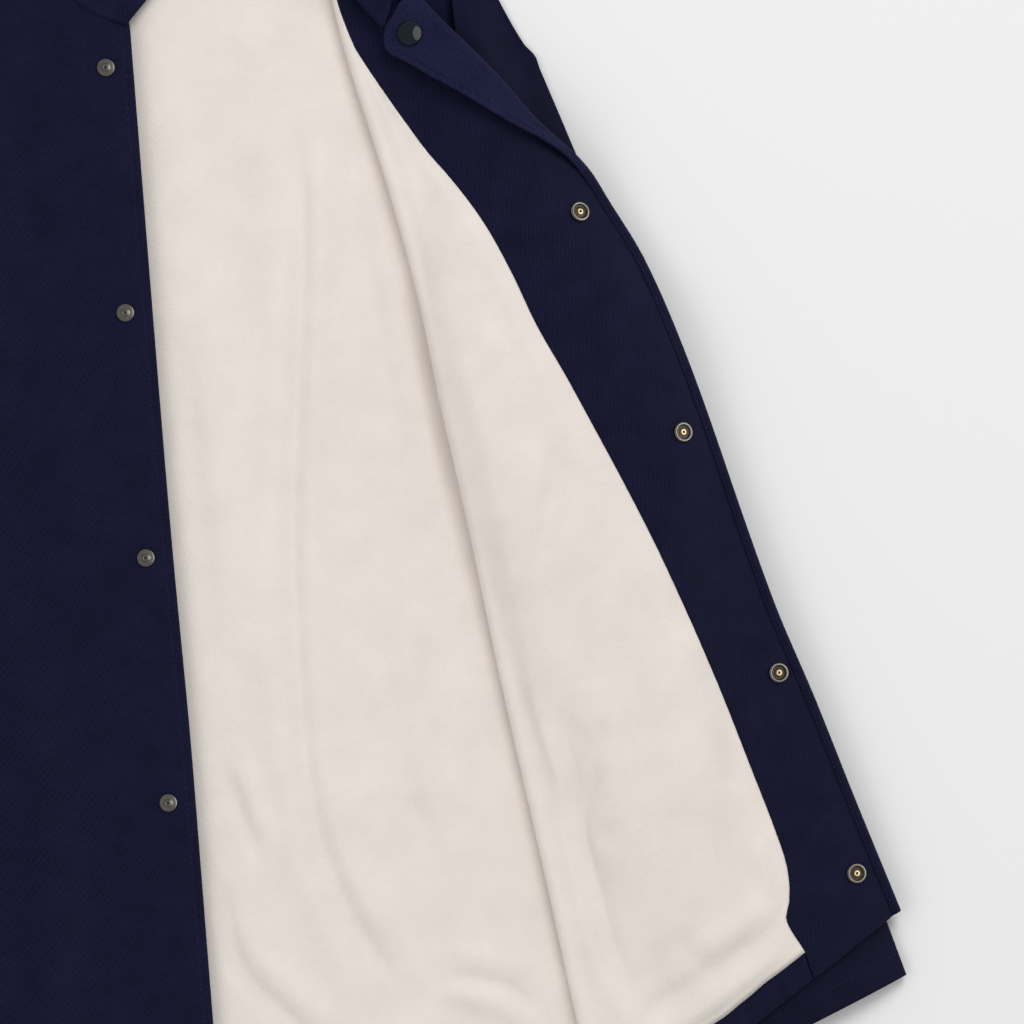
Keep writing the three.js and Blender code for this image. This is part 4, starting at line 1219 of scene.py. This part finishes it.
# Stitching
# Navy thread, sewn 5 mm in from the edges, 3.2 mm a stitch. Each row of stitches is laid along a line
# on the cloth, and every stitch strays a little from it.
STITCH_PITCH = 3.2
STITCH_LENGTH = 2.5
STITCH_WIDTH = 0.55
STITCH_STRAY = 0.1
CUFF_INSET = 14.0
LIP_STITCH_PLACE = 4.72
UPRIGHT = np.array([0.0, 0.0, 1.0])
CORNER_STITCH_DEPTH = 0.42
LIP_STITCH_DEPTH = 0.32
thread = plain_material("navy_thread", {
    "Base Color": (0.0080, 0.0086, 0.0290, 1.0), "Roughness": 0.6, "Specular IOR Level": 0.2,
})


def stitch_tree():
    """Lays one stitch after another along the edges of a mesh, turned to the cloth under it."""
    tree = bpy.data.node_groups.new("stitch_row", "GeometryNodeTree")
    tree.interface.new_socket("Geometry", in_out="INPUT", socket_type="NodeSocketGeometry")
    kinds = {"Pitch": "Float", "Length": "Float", "Width": "Float", "Stray": "Float", "Seed": "Int"}
    sockets = {}
    for name, kind in kinds.items():
        socket = tree.interface.new_socket(name, in_out="INPUT", socket_type="NodeSocket" + kind)
        sockets[name] = socket.identifier
    tree.interface.new_socket("Geometry", in_out="OUTPUT", socket_type="NodeSocketGeometry")
    given = tree.nodes.new("NodeGroupInput").outputs
    curve = add_node(tree, "GeometryNodeMeshToCurve", {"Mesh": given["Geometry"]})
    spaced = add_node(
        tree, "GeometryNodeResampleCurve", {"Curve": curve.outputs["Curve"], "Length": given["Pitch"]},
        mode="LENGTH",
    )
    chance = add_node(
        tree, "FunctionNodeRandomValue",
        {0: (-1.0, -1.0, -0.3), 1: (1.0, 1.0, 0.3), "Seed": given["Seed"]}, data_type="FLOAT_VECTOR",
    )
    offset = add_node(
        tree, "ShaderNodeVectorMath", {0: chance.outputs[0], "Scale": given["Stray"]}, operation="SCALE",
    )
    moved = add_node(tree, "GeometryNodeSetPosition", {
        "Geometry": spaced.outputs["Curve"], "Offset": offset.outputs["Vector"],
    })
    bead = add_node(tree, "GeometryNodeMeshUVSphere", {"Segments": 8, "Rings": 5, "Radius": 0.5})
    tangent = add_node(tree, "GeometryNodeInputTangent", {}).outputs["Tangent"]
    up = add_node(tree, "GeometryNodeInputNamedAttribute", {"Name": "up"}, data_type="FLOAT_VECTOR")
    ahead = add_node(tree, "FunctionNodeAlignRotationToVector", {"Vector": tangent}, axis="X")
    turned_up = add_node(
        tree, "FunctionNodeAlignRotationToVector",
        {"Rotation": ahead.outputs["Rotation"], "Vector": up.outputs["Attribute"]},
        axis="Z", pivot_axis="X",
    )
    size = add_node(tree, "ShaderNodeCombineXYZ", {
        "X": given["Length"], "Y": given["Width"], "Z": given["Width"],
    })
    placed = add_node(tree, "GeometryNodeInstanceOnPoints", {
        "Points": moved.outputs["Geometry"], "Instance": bead.outputs["Mesh"],
        "Rotation": turned_up.outputs["Rotation"], "Scale": size.outputs["Vector"],
    })
    real = add_node(tree, "GeometryNodeRealizeInstances", {"Geometry": placed.outputs["Instances"]})
    painted = add_node(tree, "GeometryNodeSetMaterial", {
        "Geometry": real.outputs["Geometry"], "Material": thread,
    })
    add_node(tree, "NodeGroupOutput", {"Geometry": painted.outputs["Geometry"]})
    return tree, sockets


STITCH_TREE, STITCH_SOCKETS = stitch_tree()


def stitched(name, node, lines, seed):
    """One mesh with the stitches of all the given lines, each a list of points and normals."""
    points = np.concatenate([line for line, _ in lines]) * MM
    points[:, 1] += HEM_Y
    normals = np.concatenate([np.broadcast_to(up, line.shape) for line, up in lines])
    edges = []
    first = 0
    for line, _ in lines:
        edges += [(first + k, first + k + 1) for k in range(len(line) - 1)]
        first += len(line)
    base_mesh = bpy.data.meshes.new(name + "_lines")
    base_mesh.from_pydata(points.tolist(), edges, [])
    up = base_mesh.attributes.new("up", "FLOAT_VECTOR", "POINT")
    up.data.foreach_set("vector", normals.astype(np.float32).ravel())
    base = add_object(name + "_lines", base_mesh)
    modifier = base.modifiers.new("stitches", "NODES")
    modifier.node_group = STITCH_TREE
    sizes = {"Pitch": STITCH_PITCH, "Length": STITCH_LENGTH, "Width": STITCH_WIDTH, "Stray": STITCH_STRAY}
    for key, value in sizes.items():
        modifier[STITCH_SOCKETS[key]] = value * MM
    modifier[STITCH_SOCKETS["Seed"]] = seed
    settled = base.evaluated_get(bpy.context.evaluated_depsgraph_get())
    mesh = bpy.data.meshes.new_from_object(settled)
    mesh.polygons.foreach_set("use_smooth", np.ones(len(mesh.polygons), dtype=bool))
    base.modifiers.remove(modifier)
    bpy.data.objects.remove(base)
    bpy.data.meshes.remove(base_mesh)
    piece = add_object(name, mesh)
    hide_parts(node)
    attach(piece, "root")
    return piece


def edge_stitches():
    """Rows along the turned front edge, and along the free edge of the corner that is folded back."""
    lines = []
    for first, last, on_corner in ((0.075, 0.335, True), (0.345, 0.996, False)):
        rows = np.linspace(first, last, 160)
        ends = left_front_points(rows[:, None] * np.ones((1, 2)), np.broadcast_to([4.0, 5.0], (160, 2)))
        width = np.maximum(np.linalg.norm(ends[:, 1] - ends[:, 0], axis=-1), STITCH_INSET * 1.02)
        place = 5 - STITCH_INSET / width if on_corner else np.full(len(rows), LIP_STITCH_PLACE)
        columns = place[:, None] + np.array([[-0.04, 0.0, 0.04]])
        points, normals = front_grid(rows, np.clip(columns, 4.0, 5.0))
        lift = SHELL / 2 - (CORNER_STITCH_DEPTH if on_corner else LIP_STITCH_DEPTH)
        lines.append((points[:, 1] - normals[:, 1] * lift, -normals[:, 1]))
    return lines


def right_stitches():
    y = np.linspace(678, -2, 140)
    x = right_edge_at(y) - STITCH_INSET
    plan = np.stack([x, y], axis=-1)
    z = right_front_bottom(plan) + right_creases(plan) * smooth(STITCH_INSET, 0, 16) + SHELL - 0.3
    return [(raised(plan, z), UPRIGHT)]


def hem_stitches():
    x = np.linspace(2 - HEM_REACH, HEM_REACH - 2, 100)
    y = np.full(len(x), HEM_TURN_UP - 3.0)
    return [(np.stack([x, y, LINING_BOTTOM + FACING + hem_wave(x) + 0.05], axis=-1), UPRIGHT)]


def cuff_stitches(inner, outer, bottom, crown):
    """Row across the top of a sleeve, a fixed distance from its cuff."""
    length = np.linalg.norm(inner(1.0) - inner(0.9)) * 10
    down = 1 - CUFF_INSET / length
    half = np.linspace(0.03, 0.97, 50)
    plan = inner(down)[None] * (1 - half[:, None]) + outer(down)[None] * half[:, None]
    rise = SIDE_SHARE + (1 - SIDE_SHARE) * crown_profile(half)
    z = bottom(plan[:, 0], plan[:, 1]) + crown(plan, down) * rise
    return [(raised(plan, z + 0.05), UPRIGHT)]


stitched("front_edge_stitches", "left_front", edge_stitches(), 3)
stitched("right_edge_stitches", "right_front", right_stitches(), 5)
stitched("back_hem_stitches", "back_hem", hem_stitches(), 7)
left_cuff = cuff_stitches(path(LEFT_SLEEVE_INNER), path(LEFT_SLEEVE_OUTER), left_sleeve_bottom, left_crown)
stitched("left_cuff_stitches", "left_sleeve", left_cuff, 11)
right_cuff = cuff_stitches(path(RIGHT_SLEEVE_INNER), path(RIGHT_SLEEVE_OUTER), on_the_surface, right_crown)
stitched("right_cuff_stitches", "right_sleeve", right_cuff, 13)


# Snaps
# Five pressed metal snaps: a domed enamelled cap outside, ring sockets with a brass middle on the facing,
# and posts on the right front. Each is riveted through the cloth and sits a little into it.
def metal(name, colour, roughness, metallic=1.0):
    """Pressed metal or enamel, with faint darker and smoother spots."""
    material = plain_material(name, {"Metallic": metallic})
    tree = material.node_tree
    wear = noise(tree, "ShaderNodeTexNoise", "Fac", Scale=900.0, Detail=4.0)
    tone = two_tones(tree, wear, colour, (0.3, 0.65), (0.7, 1.0))
    rough = add_node(tree, "ShaderNodeMapRange", {
        "Value": wear, "To Min": roughness * 0.8, "To Max": roughness * 1.3,
    })
    feed_shader(tree, {"Base Color": tone, "Roughness": rough.outputs["Result"]})
    return material


gunmetal = metal("gunmetal", (0.19, 0.175, 0.155), 0.30)
brass = metal("brass", (0.55, 0.42, 0.22), 0.32)
# The hollows and centre holes of the sockets and the dip on top of each stud post get a near-black copy of
# the metal: painted shade in the hollows.
recess_painted_shade = metal("recess_painted_shade", (0.05, 0.045, 0.04), 0.45)
enamel = metal("enamel", (0.0012, 0.0075, 0.0120), 0.08, metallic=0.0)
enamel.node_tree.nodes["Principled BSDF"].inputs["Specular IOR Level"].default_value = 0.27


def turned(name, profile, materials, centre, normal, sides=56):
    """Round piece from a profile of radius, height and material, standing along a normal."""
    radius, height, kind = (np.array(column) for column in zip(*profile))
    normal = np.asarray(normal) / np.linalg.norm(normal)
    first = np.cross(normal, [0.0, 1.0, 0.0])
    first /= np.linalg.norm(first)
    second = np.cross(normal, first)
    angle = np.arange(sides) / sides * 2 * np.pi
    ring = np.cos(angle)[:, None] * first + np.sin(angle)[:, None] * second
    hem = np.array([0, HEM_Y, 0])
    bm = bmesh.new()
    rings = []
    for r, h in zip(radius, height):
        base = np.asarray(centre) + normal * h
        if r == 0:
            spot = [bm.verts.new(tuple(base * MM + hem))]
        else:
            spot = [bm.verts.new(tuple((base + ring[k] * r) * MM + hem)) for k in range(sides)]
        rings.append(spot)
    for k in range(len(rings) - 1):
        low = rings[k]
        high = rings[k + 1]
        for s in range(sides):
            n = (s + 1) % sides
            if len(low) == 1:
                face = bm.faces.new((low[0], high[s], high[n]))
            elif len(high) == 1:
                face = bm.faces.new((low[s], low[n], high[0]))
            else:
                face = bm.faces.new((low[s], low[n], high[n], high[s]))
            face.material_index = int(kind[k + 1])
            face.smooth = True
    bmesh.ops.recalc_face_normals(bm, faces=bm.faces)
    mesh = bpy.data.meshes.new(name)
    bm.to_mesh(mesh)
    bm.free()
    for material in materials:
        mesh.materials.append(material)
    return add_object(name, mesh)


SOCKET_PROFILE = [
    (0, 0, 0), (5.9, 0, 0), (6.15, 0.25, 0), (6.15, 0.9, 0), (6.0, 1.35, 0), (5.6, 1.75, 0),
    (5.1, 1.95, 0), (4.6, 1.8, 0), (4.35, 1.3, 0), (4.2, 0.7, 1), (3.6, 0.5, 1), (2.2, 0.5, 1),
    (2.05, 0.7, 2), (2.0, 1.2, 2), (1.7, 1.45, 2), (1.1, 1.5, 2), (0.75, 1.45, 2), (0.6, 1.1, 1),
    (0, 0.9, 1),
]
STUD_PROFILE = [
    (0, 0, 0), (5.2, 0, 0), (5.4, 0.2, 0), (5.35, 0.6, 0), (4.8, 0.95, 0), (3.2, 1.0, 0),
    (2.45, 1.25, 0), (2.1, 1.7, 0), (2.1, 2.4, 0), (2.4, 2.9, 0), (2.3, 3.3, 0), (1.8, 3.6, 0),
    (0.8, 3.65, 0), (0.6, 3.3, 1), (0, 3.2, 1),
]
CAP_PROFILE = [
    (0, 0, 0), (7.1, 0, 0), (7.45, 0.2, 0), (7.5, 0.6, 0), (7.35, 1.0, 0), (6.8, 1.5, 0), (5.9, 2.0, 0),
    (4.6, 2.5, 0), (3.0, 2.9, 0), (1.4, 3.12, 0), (0, 3.2, 0),
]
SNAP_SEAT = 0.5
CAP_SEAT = SHELL / 2 + 0.7
SOCKETS = {
    "snap_socket_2": (239.0, 547.5), "snap_socket_3": (291.5, 412.0), "snap_socket_4": (340.0, 264.0),
    "snap_socket_5": (378.5, 140.5),
}
CAP_ROW = 0.152
CAP_ACROSS = 4.58


def snap_piece(node, profile, materials, point, normal):
    piece = turned(node + "_metal", profile, materials, point, normal)
    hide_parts(node)
    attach(piece, "root")
    return piece


for node, (x, y) in SOCKETS.items():
    spot = (np.array([x]), np.array([y]))
    normal = drape_normal(*spot)[0]
    height = drape(*spot)[0]
    point = np.array([x, y, height]) + normal * (SHELL + GAP + FACING + SNAP_SEAT)
    snap_piece(node, SOCKET_PROFILE, [gunmetal, recess_painted_shade, brass], point, normal)

cap_rows = np.array([CAP_ROW - 0.006, CAP_ROW, CAP_ROW + 0.006])
cap_places = np.array([[CAP_ACROSS - 0.05, CAP_ACROSS, CAP_ACROSS + 0.05]] * 3)
cap_points, cap_normals = front_grid(cap_rows, cap_places)
cap_normal = -cap_normals[1, 1]
cap_point = cap_points[1, 1] + cap_normal * CAP_SEAT
socket_point = cap_points[1, 1] - cap_normal * CAP_SEAT
snap_piece("snap_cap_1", CAP_PROFILE, [enamel], cap_point, cap_normal)
snap_piece(
    "snap_socket_1", SOCKET_PROFILE, [gunmetal, recess_painted_shade, brass], socket_point, -cap_normal,
)

STUD_INSET = 16
STUD_PITCH = 148
LOWEST_STUD_Y = 63
for k in range(5):
    stud_y = LOWEST_STUD_Y + (4 - k) * STUD_PITCH
    stud_x = float(right_edge_at(stud_y)) - STUD_INSET
    near = right_front_bottom(np.array([[stud_x - 2, stud_y], [stud_x, stud_y], [stud_x + 2, stud_y]]))
    stud_normal = np.array([-(near[2] - near[0]) / 4, 0.0, 1.0])
    stud_point = np.array([stud_x, stud_y, near[1] + SHELL + SNAP_SEAT])
    snap_piece(
        f"snap_stud_{k + 1}", STUD_PROFILE, [gunmetal, recess_painted_shade], stud_point, stud_normal,
    )
